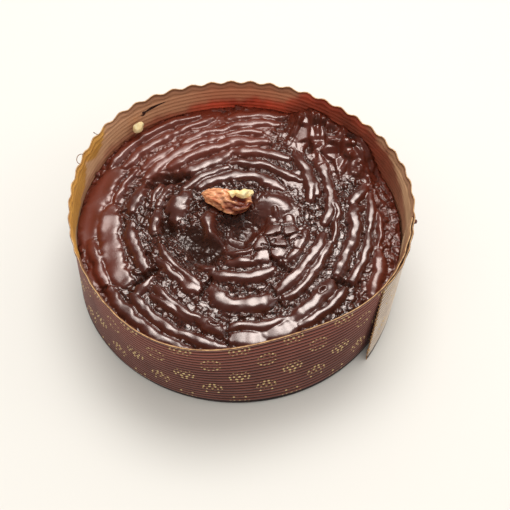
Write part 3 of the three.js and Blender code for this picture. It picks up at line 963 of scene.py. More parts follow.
def add_case_base(case):
    """The bottom disc keeps its CAD shape and gets the outside's paper without the print."""
    # matt brown paper, a little blotchy
    paper = flecked_material(
        "bottom_paper", case.outside_dark, case.outside_light, size=3, roughness=0.6, bump_mm=0.1)
    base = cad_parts["case_base"]
    base.data.materials.clear()
    base.data.materials.append(paper)


# The cake


def polar(angle, radius):
    """Place in mm on the cake's plan, about the centre of the rings."""
    turn = np.radians(angle)
    return np.stack([radius * np.cos(turn), radius * np.sin(turn) + RING_CENTRE_Y], axis=-1)


def about_rings(points):
    """Angle in degrees and radius in mm of points on the cake's plan, about the centre of the rings."""
    plan = points - (0, RING_CENTRE_Y)
    return np.degrees(np.arctan2(plan[:, 1], plan[:, 0])) % 360, np.linalg.norm(plan, axis=1)


def spot(points, angle, distance, reach, power, uneven=0):
    """1 in the middle of a round place on the cake and 0 outside it. A high power gives it a sharp edge."""
    gap = np.linalg.norm(points - polar(angle, distance), axis=1) + uneven
    return np.exp(-((np.maximum(gap, 0) / reach) ** power))


def ripple(points, size, seed):
    """Smooth random unevenness, about -1 to 1, of a size in mm."""
    rng = np.random.default_rng(seed)
    total = np.zeros(len(points))
    for _ in range(RIPPLE_WAVES):
        turn = rng.uniform(0, 2 * math.pi)
        beat = 2 * math.pi / (size * rng.uniform(0.7, 1.5))
        total += np.cos(beat * (points @ (math.cos(turn), math.sin(turn))) + rng.uniform(0, 2 * math.pi))
    return total / math.sqrt(RIPPLE_WAVES)


def distance_to_stroke(points, stroke, margin, bend=0.0):
    """Which points are near a stroke, how far they are from its line and along it, and its length in mm."""
    start, end, radius_start, radius_end, bow = stroke[:5]
    t = np.linspace(0, 1, STROKE_POINTS + 1)
    angle = lerp(start, end, t)
    radius = lerp(radius_start, radius_end, t) + 4 * bow * t * (1 - t)
    line = polar(angle, radius + bend * ripple(polar(angle, radius), *WANDERING_STROKE))
    low = line.min(0) - margin
    high = line.max(0) + margin
    near = np.flatnonzero(np.all((points > low) & (points < high), axis=1))
    best = np.full(len(near), np.inf)
    along = np.zeros(len(near))
    passed = 0.0
    for first, second in zip(line, line[1:]):
        step = second - first
        length = np.linalg.norm(step)
        offset = points[near] - first
        part = np.clip(offset @ step / length ** 2, 0, 1)
        gap = np.linalg.norm(offset - part[:, None] * step, axis=1)
        closer = gap < best
        best[closer] = gap[closer]
        along[closer] = passed + part[closer] * length
        passed += length
    return near, best, along, passed


def piped_relief(cake, points):
    """Height of the piped chocolate over the crumb, in mm."""
    rng = np.random.default_rng(PIPING_SEED)
    ragged = RAGGED * ripple(points, *RAGGED_RING)
    relief = np.zeros(len(points))
    for table, top, power in ((RIDGES, cake.ridge_height / MM, 3), (POOLS, cake.pool_height / MM, 5)):
        for stroke in table:
            half = stroke[5] / 2 * cake.ridge_spread
            phase = rng.uniform(0, 2 * math.pi, 2)
            tall = top * rng.uniform(*STROKE_TALL)
            near, gap, along, length = distance_to_stroke(points, stroke, margin=1.4 * half, bend=0.6)
            swell = sum(
                size * np.sin(2 * math.pi * along / wave + start)
                for (size, wave), start in zip(SWELLS, phase)
            )
            # the ends thin out where the nozzle was lifted
            end = smoothstep(np.minimum(along, length - along), -1, END_TAPER)
            d = np.clip(gap / (half * (1 + swell) * lerp(0.7, 1, end)) + ragged[near], 0, 1)
            rise = tall * (1 + 0.5 * swell) * lerp(0.65, 1, end) * (1 - d ** power)
            relief[near] = smooth_max(relief[near], rise, FUSE)
    return np.maximum(relief - FUSE / 4, 0)


def crust_mask(degrees, radius):
    """Where the crust was lifted against the wall, back right: 0 to 1 round the cake, and outwards."""
    across = smoothstep(degrees, CRUST_FROM - CRUST_FADE, CRUST_FROM + CRUST_FADE)
    across *= 1 - smoothstep(degrees, CRUST_TO - CRUST_FADE, CRUST_TO + CRUST_FADE)
    return across, smoothstep(radius, CRUST_INNER, CRUST_OUTER)


def crust_rise(points):
    """How far the lifted crust has risen, in mm."""
    across, outward = crust_mask(*about_rings(points))
    return across * CRUST_RISE * outward ** 2


def flat_chips(points, size, lean, lift, seed, base=None, tilt=0):
    """Height in mm of a surface broken into flat chips of a size in mm, and how near a break each point is.

    lean is the spread of their slopes, lift of their heights. base gives the height at a chip's middle, and
    tilt is how far they all rise to the back per mm."""
    rng = np.random.default_rng(seed)
    count = int(FIELD / size) + 4
    jitter = rng.uniform(-0.4, 0.4, (count, count, 2))
    leans = rng.normal(0, lean, (count, count, 2)) + (0, tilt)
    lifts = rng.uniform(-lift, lift, (count, count))
    cell = np.floor(points / size).astype(int)
    gaps = []
    heights = []
    for side in np.ndindex(3, 3):
        chip = cell + side - 1
        i, j = (chip + count // 2).T
        middle = (chip + 0.5 + jitter[i, j]) * size
        offset = points - middle
        gaps.append(np.linalg.norm(offset, axis=1))
        level = (offset * leans[i, j]).sum(1) + lifts[i, j]
        heights.append(level if base is None else level + base(middle))
    nearest, second = np.partition(np.array(gaps), 1, axis=0)[:2]
    shares = np.exp(-(np.array(gaps) - nearest) / (CHIP_BLEND * size))
    height = (shares * np.array(heights)).sum(0) / shares.sum(0)
    return height, 1 - smoothstep(second - nearest, 0, CHIP_BREAK * size)


def torn_crumb(points):
    """Height in mm of the torn crumb, moist chips drawn out along the rings, and where its fissures are."""
    plan = points - (0, RING_CENTRE_Y)
    turn = np.arctan2(plan[:, 1], plan[:, 0])
    radius = np.linalg.norm(plan, axis=1)
    along = np.stack([turn * radius.round(-1) / CRUMB_DRAWN_OUT, radius], axis=1)
    place = np.where((radius > CRUMB_PLAIN)[:, None], along, points)
    layers = [flat_chips(place, size, lean, lift, int(100 * size)) for size, lean, lift in CRUMB_CHIPS]
    return sum(height for height, _ in layers), layers[0][1]


def fold_relief(points):
    """Height in mm of the sharp folds of the lifted crust."""
    folds = np.zeros(len(points))
    for fold in FOLDS:
        half = fold[5] / 2
        near, gap, along, length = distance_to_stroke(points, fold, margin=half, bend=1.0)
        # a crest with a narrow flat top, which sinks at both ends of the fold
        crest = np.clip(1.4 * (1 - gap / half), 0, 1)
        tent = fold[6] * crest * np.sin(math.pi * np.clip(along / length, 0.08, 0.92))
        folds[near] = np.maximum(folds[near], tent)
    return folds


def bubble_relief(points):
    """Height in mm of the burst bubbles: a raised lip round a pit."""
    relief = np.zeros(len(points))
    for angle, distance, length, width in BUBBLES:
        outwards, sideways = turned_offsets(points, polar(angle, distance), angle)
        d = np.hypot(outwards / (width / 2), sideways / (length / 2))
        relief += BUBBLE_LIP * np.exp(-(((d - 1.3) / 0.4) ** 2))
        relief -= BUBBLE_DEPTH * np.clip(1 - d ** 2, 0, 1)
    return relief


def dried_film(points, uneven):
    """Where a film of chocolate has smoothed the crumb, and where it has dried matt: 0 to 1."""
    degrees, radius = about_rings(points)
    film = np.zeros(len(points))
    strength, inner, outer = DRIED_AT_WALL
    matt = strength * smoothstep(radius, inner, outer)
    for strength, start, end, fade, inner, outer in DRIED:
        zone = strength * sector(degrees, start, end, fade) * smoothstep(radius, inner, outer)
        matt = np.maximum(matt, zone)
    for angle, distance, reach, red in SMOOTHED:
        gap = np.linalg.norm(points - polar(angle, distance), axis=1) + 1.5 * uneven
        covered = np.exp(-((gap / reach) ** 4))
        film = np.maximum(film, covered)
        matt = np.maximum(matt, red * covered)
    return film, matt


def press_nut(points, height):
    """Height in mm of the top with the bed that the nut is pressed into."""
    lengthways, sideways = turned_offsets(points, NUT_PLACE[:2], NUT_TURN)
    half = np.where(sideways < 0, max(NUT_FRONT), max(NUT_BACK)) + 1
    bed = np.hypot(lengthways / (NUT_LENGTH / 2 + 1), sideways / half)
    height = np.where(bed < 1, np.minimum(height, NUT_PLACE[2] + 0.6), height)
    return np.where(bed < NUT_BED, NUT_PLACE[2] + 0.3, height)


def cake_top(cake, points):
    """Height of the cake's top in mm, and how piped over, matt, sunken and wet each point is (0 to 1)."""
    degrees, radius = about_rings(points)
    share = radius / CAKE_RADIUS
    height = CAKE_EDGE + CAKE_DOME * (1 - share ** 2)
    height += CAKE_TILT * share * np.cos(np.radians(degrees - CAKE_TILT_ANGLE))
    unbroken = height.copy()
    uneven = ripple(points, *UNEVEN_EDGE)
    sunken = np.zeros(len(points))
    for angle, distance, reach, depth, dark in HOLLOWS:
        sink = spot(points, angle, distance, reach, power=3, uneven=0.8 * uneven)
        height -= depth * sink
        # the crumb in a hollow is painted dark as shade
        sunken = np.maximum(sunken, dark * smoothstep(sink, 0.1, 0.85))
    for angle, distance, reach, rising, slope in LEANING:
        uphill, _ = turned_offsets(points, polar(angle, distance), rising)
        height += slope * uphill * spot(points, angle, distance, reach, power=4)

    # near the middle the skin lies in level slabs with open joints
    relief = piped_relief(cake, points)
    level = np.zeros(len(points))
    for angle, distance, reach in PLATES:
        level = np.maximum(level, spot(points, angle, distance, reach, power=6, uneven=0.8 * uneven))
    slabs, joints = flat_chips(points, SLAB_SIZE, SLAB_LEAN, SLAB_LIFT, SLAB_SEED)
    height = lerp(height, unbroken, level)
    relief = lerp(relief, cake.pool_height / MM + slabs, level)
    joints = joints * level

    # the crust has risen against the wall, folded, and broken into plates
    film, matt = dried_film(points, uneven)
    crust = crust_mask(degrees, radius)[0] * smoothstep(radius, CRUST_INNER, CRUST_INNER + CRUST_EDGE)
    matt = lerp(matt, CRUST_MATT, crust)
    plates, breaks = flat_chips(
        points, PLATE_SIZE, PLATE_LEAN, PLATE_LIFT, CRUST_SEED, crust_rise, PLATE_TILT
    )
    height += lerp(crust_rise(points), plates, crust)
    height += fold_relief(points)
    breaks = 0.8 * breaks * crust * smoothstep(ripple(points, *UNBROKEN_SKIN), -0.2, 0.8)
    breaks = np.maximum(breaks, joints)
    piped = np.clip(relief / 0.8, 0, 1)
    piped = np.maximum(piped, crust) * (1 - breaks)
    # the breaks in the skin are painted dark as shade
    sunken = np.maximum(sunken, 0.7 * breaks)
    height -= BREAK_DEPTH * breaks
    height += relief * (1 - 0.6 * sunken)
    piped *= 1 - 0.7 * sunken

    ragged = ripple(points, *RAGGED_CRACK)
    for crack in CRACKS:
        half = crack[5] / 2
        near, gap, along, length = distance_to_stroke(points, crack, margin=1.8 * half, bend=1.2)
        tapered = half * (0.45 + 0.55 * np.sin(math.pi * along / length))
        d = (gap + 0.7 * ragged[near]) / tapered
        cut = crack[6] * np.clip(1 - np.maximum(d, 0) ** 2, 0, 1) * (1 + 0.3 * ragged[near])
        height[near] -= cut
        open_crack = np.clip(cut / crack[6] * 1.5, 0, 1)
        piped[near] *= 1 - open_crack
        # open cracks are painted dark as shade
        sunken[near] = np.maximum(sunken[near], 0.6 * open_crack)
    height += bubble_relief(points)

    # moist patches glisten between the rings, most of all at the right and the front
    coated = np.maximum(piped, film * (1 - 0.5 * sunken) * (1 - joints))
    moist = smoothstep(ripple(points, *MOIST_PATCH), -0.7, 0.9)
    moist *= lerp(0.5, 1, sector(degrees, *MOIST_SIDE))
    crumb, fissures = torn_crumb(points)
    torn = cake.crumb_depth / MM * lerp(1.6, 0.55, moist) * (1 - 0.8 * sunken) * crumb
    loose = 1 - coated
    height += loose * (torn - 0.5 * fissures)
    # the fissures in the crumb are painted dark as shade
    sunken = np.maximum(sunken, 0.6 * loose * fissures)
    height += SLUMP * coated * ripple(points, *SLUMPED_SKIN)
    wet = lerp(moist, 1, coated) * (1 - 0.8 * matt) * (1 - sunken)
    looks = {"piped": coated, "matt": matt, "sunken": sunken, "wet": wet}
    return press_nut(points, height), looks


def disc_from_square(square):
    """Maps a square of side 2 onto a disc of radius 1, with even cells."""
    x, y = square[:, 0], square[:, 1]
    wide = np.abs(x) >= np.abs(y)
    radius = np.where(wide, x, y)
    safe = np.where(radius == 0, 1, radius)
    angle = np.where(wide, math.pi / 4 * y / safe, math.pi / 2 - math.pi / 4 * x / safe)
    return radius * np.cos(angle), radius * np.sin(angle)


def add_cake(cake, case):
    """Shapes a round grid into the top of the cake, and closes it with a side and a bottom."""
    begin()
    bpy.ops.mesh.primitive_grid_add(x_subdivisions=TOP_CELLS, y_subdivisions=TOP_CELLS, size=2 * MM)
    piece = added("brownie_with_piped_chocolate")
    unit_x, unit_y = disc_from_square(places(piece)[:, :2])
    angle = np.arctan2(unit_y, unit_x)
    gap = case.paper / MM / 2 + case.rib_depth / MM + CAKE_GAP
    edge = wall_radius(case, angle, CAKE_EDGE) - gap
    plan = np.stack([unit_x * edge, unit_y * edge], axis=1)
    height, looks = cake_top(cake, plan)
    edge = wall_radius(case, angle, height) - gap
    put(piece, np.stack([unit_x * edge, unit_y * edge, height], axis=1))

    # side and bottom: the rim of the top is extruded down and filled
    bpy.ops.object.mode_set(mode="EDIT")
    bpy.ops.mesh.select_mode(type="EDGE")
    bpy.ops.mesh.select_all(action="DESELECT")
    bpy.ops.mesh.select_non_manifold()
    bpy.ops.mesh.extrude_edges_move()
    bpy.ops.mesh.edge_face_add()
    bpy.ops.object.mode_set(mode="OBJECT")
    xyz = places(piece)
    below = np.arange(len(height), len(xyz))
    around = np.arctan2(xyz[below, 1], xyz[below, 0])
    foot = wall_radius(case, around, CAKE_BOTTOM) - gap
    level = np.full(len(below), CAKE_BOTTOM)
    xyz[below] = np.stack([foot * np.cos(around), foot * np.sin(around), level], axis=1)
    put(piece, xyz)

    pad = np.zeros(len(below))
    for name, values in looks.items():
        paint(piece, name, np.concatenate([values, pad]))
    finish_piece(piece, [chocolate_material(cake)], ["cake"])


# The nut and the scraps


def nut_places(x, y, z):
    """Places a shape drawn along the nut's own length, in mm."""
    return turned_to(NUT_PLACE, x, y, z, NUT_TURN)


def add_nut(nut):
    """The kernel: a ball drawn out lengthways, wrinkled, and broken open behind its crown."""
    begin()
    bpy.ops.mesh.primitive_uv_sphere_add(segments=NUT_SEGMENTS, ring_count=NUT_RINGS, radius=MM)
    piece = added("nut_kernel_skin")
    bpy.ops.object.mode_set(mode="EDIT")
    bpy.ops.mesh.select_all(action="SELECT")
    bpy.ops.transform.rotate(value=math.pi / 2, orient_axis="Y", center_override=(0, 0, 0))
    bpy.ops.object.mode_set(mode="OBJECT")
    unit = places(piece)
    height = nut.height / MM
    t = (unit[:, 0] + 1) / 2
    ring = np.maximum(np.hypot(unit[:, 1], unit[:, 2]), 1e-6)
    side = unit[:, 1] / ring
    top = unit[:, 2] / ring
    front = np.interp(t, NUT_T, NUT_FRONT)
    back = np.interp(t, NUT_T, NUT_BACK)
    crown = np.interp(t, NUT_T, NUT_CROWN)
    reach = np.where(side < 0, front, back)
    turn = np.arctan2(top, side)
    # furrows run along the kernel and wander
    sway = 0.5 * np.sin(7 * t) + 0.25 * np.sin(17 * t + 1)
    wrinkle = 0.06 * np.cos(7 * turn + 4 * sway) + 0.05 * np.cos(13 * turn - 6 * sway + 1)
    wrinkle += 0.05 * np.sin(11 * t + 2 * side) * np.cos(3 * turn)
    wrinkle += 0.03 * np.cos(24 * turn + 11 * sway) * np.sin(23 * t + 3 * turn)
    y = reach * side * (1 + wrinkle)
    rise = np.where(top > 0, 1 - NUT_WAIST, NUT_WAIST) * crown * top * (1 + wrinkle)
    z = height * (NUT_WAIST + rise)
    # the broken place behind the crown, where the flesh shows
    lengthways = (t - SCOOP_ALONG[0]) / SCOOP_ALONG[1]
    sideways = (y - SCOOP_ACROSS[0]) / SCOOP_ACROSS[1]
    scoop = np.exp(-(lengthways ** 4) - sideways ** 4) * (top > 0)
    z = z - SCOOP_DEPTH * scoop
    # the skin is red-brown on its front side and towards its right end, and darker in the wrinkles and the
    # broken hollow: partly its own colour, partly painted shade
    red = 0.6 * smoothstep(-side, 0.1, 0.7) * smoothstep(t, 0.2, 0.6) + 0.3 * smoothstep(t, 0.5, 0.8)
    furrow_and_shade = np.clip(1.3 * red - 0.15 - 4 * wrinkle, 0, 1)
    furrow_and_shade = np.maximum(furrow_and_shade, np.clip(1.5 * scoop, 0, 1))
    put(piece, nut_places(NUT_LENGTH * (t - 0.5), y, z))
    paint(piece, "furrow_and_shade", furrow_and_shade)
    roughen(piece, "skin", "CLOUDS", size=1.3, depth=0.7, noise_depth=2)
    roughen(piece, "lumps", "CLOUDS", size=4.5, depth=1.1, noise_depth=1)
    finish_piece(piece, [nut_skin_material(nut)], ["nut_kernel"])


def add_lumps(name, lumps, grain, cuts=TORN):
    """One mesh of broken lumps. Each lump has a place, a size along each axis in mm and a turn in degrees.

    cuts is how far from the middle its flat faces lie, as a share of the ball it is cut from."""
    begin()
    parts = []
    for place, size, turn in lumps:
        bpy.ops.mesh.primitive_ico_sphere_add(subdivisions=4, radius=MM)
        part = bpy.context.object
        unit = places(part)
        # broken faces: the ball is cut flat along a few seeded directions
        rng = np.random.default_rng(int(1000 * abs(place[0]) + 10 * abs(place[1])))
        for _ in range(LUMP_FACES):
            axis = rng.normal(size=3)
            axis /= np.linalg.norm(axis)
            over = np.maximum(unit @ axis - rng.uniform(*cuts), 0)
            unit = unit - over[:, None] * axis
        put(part, turned_to(place, *(unit * size / 2).T, turn))
        parts.append(part)
    for part in parts:
        part.select_set(True)
    bpy.context.view_layer.objects.active = parts[0]
    if len(parts) > 1:
        bpy.ops.object.join()
    piece = added(name)
    roughen(piece, name + "_grain", "CLOUDS", size=grain, depth=0.25 * grain, noise_depth=2)
    return piece


def add_nut_flesh(nut):
    """Pale flesh where the kernel is broken, along its back edge, and the chip on the wall."""
    spots = nut_places(*np.array([place for place, _ in FLESH]).T)
    lumps = [
        (middle, size, NUT_TURN + FLESH_TWIST * k)
        for k, (middle, (_, size)) in enumerate(zip(spots, FLESH))
    ]
    # fresh flesh: pale cream and slightly oily
    flesh = flecked_material(
        "nut_flesh", nut.flesh_dark, nut.flesh_light, size=2.2, roughness=0.5, bump_mm=0.25)
    finish_piece(add_lumps("nut_kernel_flesh", lumps, grain=1.0, cuts=BROKEN), [flesh])
    # the chip has dried: a little yellower and duller
    dry = flecked_material(
        "dry_nut_flesh", nut.chip_dark, nut.flesh_light, size=2.2, roughness=0.55, bump_mm=0.25)
    chip = [(CHIP_PLACE, CHIP_SIZE, CHIP_TURN)]
    finish_piece(add_lumps("nut_chip_on_wall", chip, grain=1.2, cuts=BROKEN), [dry])


def on_wall(case, degrees, height, inwards):
    """A place in mm on the inside of the wall."""
    angle = np.radians(degrees)
    radius = wall_radius(case, angle, height) - case.paper / MM / 2 - inwards
    return np.stack([radius * np.cos(angle), radius * np.sin(angle), height], axis=-1)


def add_smear(case, cake):
    """The thin smear of chocolate on the inside of the wall, back left, with a drop at its end."""
    begin()
    bpy.ops.mesh.primitive_uv_sphere_add(segments=24, ring_count=48, radius=MM)
    piece = added("chocolate_smear_on_wall")
    unit = places(piece)
    t = (unit[:, 2] + 1) / 2
    girth = np.hypot(unit[:, 0], unit[:, 1]) / np.sqrt(np.maximum(1 - unit[:, 2] ** 2, 1e-9))
    thick = np.interp(t, SMEAR_T, SMEAR_THICK) * girth
    turn = np.arctan2(unit[:, 1], unit[:, 0])
    degrees = lerp(SMEAR_START[0], SMEAR_END[0], t)
    height = lerp(SMEAR_START[1], SMEAR_END[1], t) + 0.4 * np.sin(5 * t) + thick * np.sin(turn)
    inwards = 0.25 + 0.55 * thick * np.cos(turn)
    put(piece, on_wall(case, degrees, height, inwards))
    # set chocolate: nearly black, with a dull shine
    smear = flecked_material(
        "set_chocolate", cake.crumb_dark, cake.piped_dark, size=2, roughness=0.35, bump_mm=0.1, coat=0.2)
    finish_piece(piece, [smear])


def add_rim_crumb(case, cake):
    """Crumbs of cake on the rim at the right."""
    angle = np.radians(CRUMB_ANGLE)
    lip_radius, lip_height = lip_start(case, angle)
    radius = lip_radius + CRUMB_OUT
    middle = np.array([radius * math.cos(angle), radius * math.sin(angle), lip_height])
    lumps = [(middle + offset, size, turn) for offset, size, turn in RIM_CRUMBS]
    # moist crumb: dark brown with reddish specks, hardly glossy
    crumb = flecked_material(
        "brownie_crumb", cake.crumb_dark, cake.film, size=1.2, roughness=0.4, bump_mm=0.2)
    finish_piece(add_lumps("crumbs_on_rim", lumps, grain=1.0), [crumb])


def rim_place(case, degrees):
    """The place in mm on the upper edge of the paper."""
    travel = math.radians((LAP_INNER_END - degrees) % 360)
    along = 1 - travel / (2 * math.pi + math.radians(LAP_ANGLE))
    return Vector(wind_strip(case, np.array([along]), np.array([1.0]))[0][0])


def add_paper_curls(case):
    """Two fibres of torn paper that curl away from the rim, back left."""
    begin()
    curls = []
    for start, end, stand_off, rise in CURLS:
        outwards = Vector((math.cos(math.radians(start)), math.sin(math.radians(start)), 0)) * stand_off
        bpy.ops.curve.primitive_bezier_curve_add(radius=MM)
        curl = bpy.context.object
        curl.data.bevel_depth = CURL_RADIUS * MM
        curl.data.bevel_resolution = 2
        first, last = curl.data.splines[0].bezier_points
        first.co = rim_place(case, start) * MM
        last.co = (rim_place(case, end) + Vector((0, 0, rise)) + CURL_DROOP * rise * outwards) * MM
        for point, way in ((first, 1), (last, -1)):
            point.handle_left = point.co - CURL_HANDLE * way * outwards * MM
            point.handle_right = point.co + CURL_HANDLE * way * outwards * MM
        bpy.ops.object.convert(target="MESH")
        curls.append(bpy.context.object)
    for curl in curls:
        curl.select_set(True)
    bpy.ops.object.join()
    piece = added("paper_curls_on_rim")
    # torn fibres: tan and matt
    fibre = flecked_material(
        "torn_paper", case.edge_dark, case.inside_rim, size=1.5, roughness=0.7, bump_mm=0.05)
    finish_piece(piece, [fibre])


# The stage


def add_floor(stage):
    """A plain pale floor: an even, matt table top."""
    begin()
    bpy.ops.mesh.primitive_plane_add(size=FLOOR_SIZE)
    floor = added("floor")
    table = flecked_material(
        "pale_table", stage.floor, stage.floor, size=40, roughness=0.6, bump_mm=0.05)
    floor.data.materials.append(table)


def add_area_light(name, power, size, place, lights=True, mirrored=True):
    """Rectangular soft light at a place in metres that faces the cake.

    lights says whether it lights what it faces, mirrored whether it shows in the gloss."""
    light = bpy.data.lights.new(name, "AREA")
    light.shape = "RECTANGLE"
    light.size, light.size_y = size
    light.energy = power
    lamp = bpy.data.objects.new(name, light)
    bpy.context.scene.collection.objects.link(lamp)
    lamp.visible_diffuse = lights
    lamp.visible_glossy = mirrored
    lamp.location = place
    lamp.rotation_euler = (Vector(LIGHT_TARGET) - Vector(place)).to_track_quat("-Z", "Y").to_euler()
    return lamp


def add_lights(scene, stage):
    """The white room, the softbox and key that light the cake, and the window that its gloss mirrors."""
    world = bpy.data.worlds.new("studio")
    world.use_nodes = True
    tree = world.node_tree
    tree.nodes.clear()
    # white walls fill the shadows; in the gloss the room is dim, and dimmer behind the camera
    direction = add_node(tree, "ShaderNodeTexCoord").outputs["Generated"]
    facing = add_node(tree, "ShaderNodeVectorMath", {
        0: direction, 1: BRIGHT_SIDE,
    }, operation="DOT_PRODUCT")
    strength = add_node(tree, "ShaderNodeMapRange", {
        "Value": facing.outputs["Value"], "From Min": -0.3, "From Max": 0.5,
        "To Min": stage.dim, "To Max": stage.bright,
    }, interpolation_type="SMOOTHSTEP")
    glossy = add_node(tree, "ShaderNodeLightPath").outputs["Is Glossy Ray"]
    seen = add_node(tree, "ShaderNodeMix", {
        "Factor": glossy, "A": stage.fill, "B": strength.outputs["Result"],
    }, data_type="FLOAT")
    sky = add_node(tree, "ShaderNodeBackground", {
        "Color": linear(WALL_WHITE), "Strength": seen.outputs["Result"],
    })
    add_node(tree, "ShaderNodeOutputWorld", {"Surface": sky.outputs["Background"]})
    world.cycles.sampling_method = "NONE"
    scene.world = world
    add_area_light("softbox_above", stage.softbox, *SOFTBOX, mirrored=False)
    for name, power, size_and_place in (
        ("window_behind", stage.window, WINDOW),
        ("glow_round_window", stage.glow, GLOW),
    ):
        window = add_area_light(name, power, *size_and_place, lights=False)
        window.data.color = linear(stage.window_tint)[:3]
    add_area_light("key_right", stage.key, *KEY)
    scene.view_settings.view_transform = "Standard"


def add_camera(scene, stage):
    """The camera at the photograph's viewing angle."""
    camera = bpy.data.cameras.new("camera")
    camera.lens = stage.lens
    camera.sensor_width = SENSOR
    holder = bpy.data.objects.new("camera", camera)
    scene.collection.objects.link(holder)
    back = Vector((0, -math.cos(stage.elevation), math.sin(stage.elevation)))
    right = Vector((1, 0, 0))
    up = back.cross(right)
    tilted_right = math.cos(stage.roll) * right + math.sin(stage.roll) * up
    tilted_up = back.cross(tilted_right)
    turned = Matrix((tilted_right, tilted_up, back)).transposed().to_4x4()
    holder.matrix_world = Matrix.Translation(Vector(stage.aim) + stage.distance * back) @ turned
    scene.camera = holder


# Settings that a user would change


class BrownieCaseSettings(bpy.types.PropertyGroup):
    """Sizes and colours of the paper case"""

    base_radius: bpy.props.FloatProperty(
        name="Base radius", description="Radius of the wall at the floor", default=0.0842, unit="LENGTH")
    rim_radius: bpy.props.FloatProperty(
        name="Rim radius", description="Mean radius at the lip", default=0.085, unit="LENGTH")
    height: bpy.props.FloatProperty(
        name="Height", description="Mean height of the rim", default=0.055, unit="LENGTH")
    paper: bpy.props.FloatProperty(
        name="Paper", description="Thickness of the paper", default=0.0005, unit="LENGTH")
    lip_length: bpy.props.FloatProperty(
        name="Lip", description="Length of the flared lip", default=0.004, unit="LENGTH")
    lip_flare: bpy.props.FloatProperty(
        name="Flare", description="Angle of the lip from upright",
        default=math.radians(30), subtype="ANGLE")
    scallops: bpy.props.IntProperty(
        name="Scallops", description="Number of scallops round the rim", default=49)
    rib_depth: bpy.props.FloatProperty(
        name="Rib depth", description="How far a rib stands out", default=0.0007, unit="LENGTH")
    print_repeat: bpy.props.FloatProperty(
        name="Print repeat", description="Distance between rosettes in a row", default=0.026, unit="LENGTH")
    print_row: bpy.props.FloatProperty(
        name="Print row", description="Distance between rows of rosettes", default=0.012, unit="LENGTH")
    outside_dark: bpy.props.StringProperty(
        name="Outside dark", description="Outside, dark", default="#54261C")
    outside_light: bpy.props.StringProperty(
        name="Outside light", description="Outside, light", default="#8C5042")
    outside_upper: bpy.props.StringProperty(
        name="Upper", description="Paper below the rim", default="#A85A48")
    # painted light: the outside of the lap as lit from the right
    outside_lap_lit: bpy.props.StringProperty(
        name="Lit", description="Faded lap", default="#E0CFBC")
    # colour of the painted shade in the grooves and at the foot
    groove_shade: bpy.props.StringProperty(
        name="Groove", description="Between the ribs", default="#180805")
    ink: bpy.props.StringProperty(
        name="Ink", description="Gold ink on the ribs", default="#D8B880")
    # the gold ink as painted in the shade of the grooves; the ink above is its lit colour on the crests
    ink_shaded: bpy.props.StringProperty(
        name="Ink low", description="Gold ink in the grooves", default="#4A3418")
    inside_dark: bpy.props.StringProperty(
        name="Inside dark", description="Inside, dark", default="#BC9870")
    inside_light: bpy.props.StringProperty(
        name="Inside light", description="Inside, light", default="#E4C096")
    # colour of the inside of the lip in painted shade; the paper curls use it too
    inside_rim: bpy.props.StringProperty(
        name="Inside rim", description="Inside of the lip", default="#7E5038")
    inside_back: bpy.props.StringProperty(
        name="Inside back", description="Browned paper", default="#C47C5A")
    stain_brown: bpy.props.StringProperty(
        name="Stain brown", description="Soaked paper, brown", default="#45190F")
    stain_dark: bpy.props.StringProperty(
        name="Stain dark", description="Soaked paper, dark", default="#9E3420")
    stain_light: bpy.props.StringProperty(
        name="Stain light", description="Soaked paper, light", default="#D65034")
    # amber of the syrup-soaked paper, lightened by a painted glow of light through it
    syrup_glow_dark: bpy.props.StringProperty(
        name="Syrup dark", description="Amber syrup, dark", default="#A66C2E")
    syrup_glow_light: bpy.props.StringProperty(
        name="Syrup light", description="Amber syrup, light", default="#DCA654")
    edge_dark: bpy.props.StringProperty(
        name="Edge dark", description="Cut edge, dark", default="#8E6440")
    edge_light: bpy.props.StringProperty(
        name="Edge light", description="Cut edge, light", default="#D8AC78")


class BrownieCakeSettings(bpy.types.PropertyGroup):
    """Relief and colours of the cake"""

    ridge_height: bpy.props.FloatProperty(
        name="Ridge", description="Height of the piped ridges", default=0.0023, unit="LENGTH")
    ridge_spread: bpy.props.FloatProperty(
        name="Spread", description="How far the ridges have spread, as a share of their width", default=1.5)
    crumb_depth: bpy.props.FloatProperty(
        name="Crumb", description="Depth of the torn crumb between the rings", default=0.001, unit="LENGTH")
    pool_height: bpy.props.FloatProperty(
        name="Pool", description="Height of the flat pools", default=0.0017, unit="LENGTH")
    # colour of the painted shade in hollows, cracks and breaks
    crumb_in_shade: bpy.props.StringProperty(
        name="Deep crumb", description="Crumb in the hollows", default="#2E160D")
    crumb_dark: bpy.props.StringProperty(
        name="Crumb dark", description="Crumb, dark", default="#220E08")
    crumb_light: bpy.props.StringProperty(
        name="Crumb light", description="Crumb, light", default="#52271B")
    piped_dark: bpy.props.StringProperty(
        name="Piped dark", description="Chocolate, dark", default="#3C160D")
    piped_light: bpy.props.StringProperty(
        name="Piped light", description="Chocolate, light", default="#5A271A")
    film: bpy.props.StringProperty(
        name="Film", description="Thin film over the crust", default="#7C301C")
    gloss_roughness: bpy.props.FloatProperty(
        name="Gloss", description="Roughness of wet chocolate", default=0.29, subtype="FACTOR")
    crumb_roughness: bpy.props.FloatProperty(
        name="Crumb gloss", description="Roughness of the moist crumb", default=0.26, subtype="FACTOR")
    matt_roughness: bpy.props.FloatProperty(
        name="Matt", description="Roughness where a thin film has dried", default=0.46, subtype="FACTOR")
    deep_roughness: bpy.props.FloatProperty(
        name="Deep gloss", description="Roughness in the hollows", default=0.24, subtype="FACTOR")


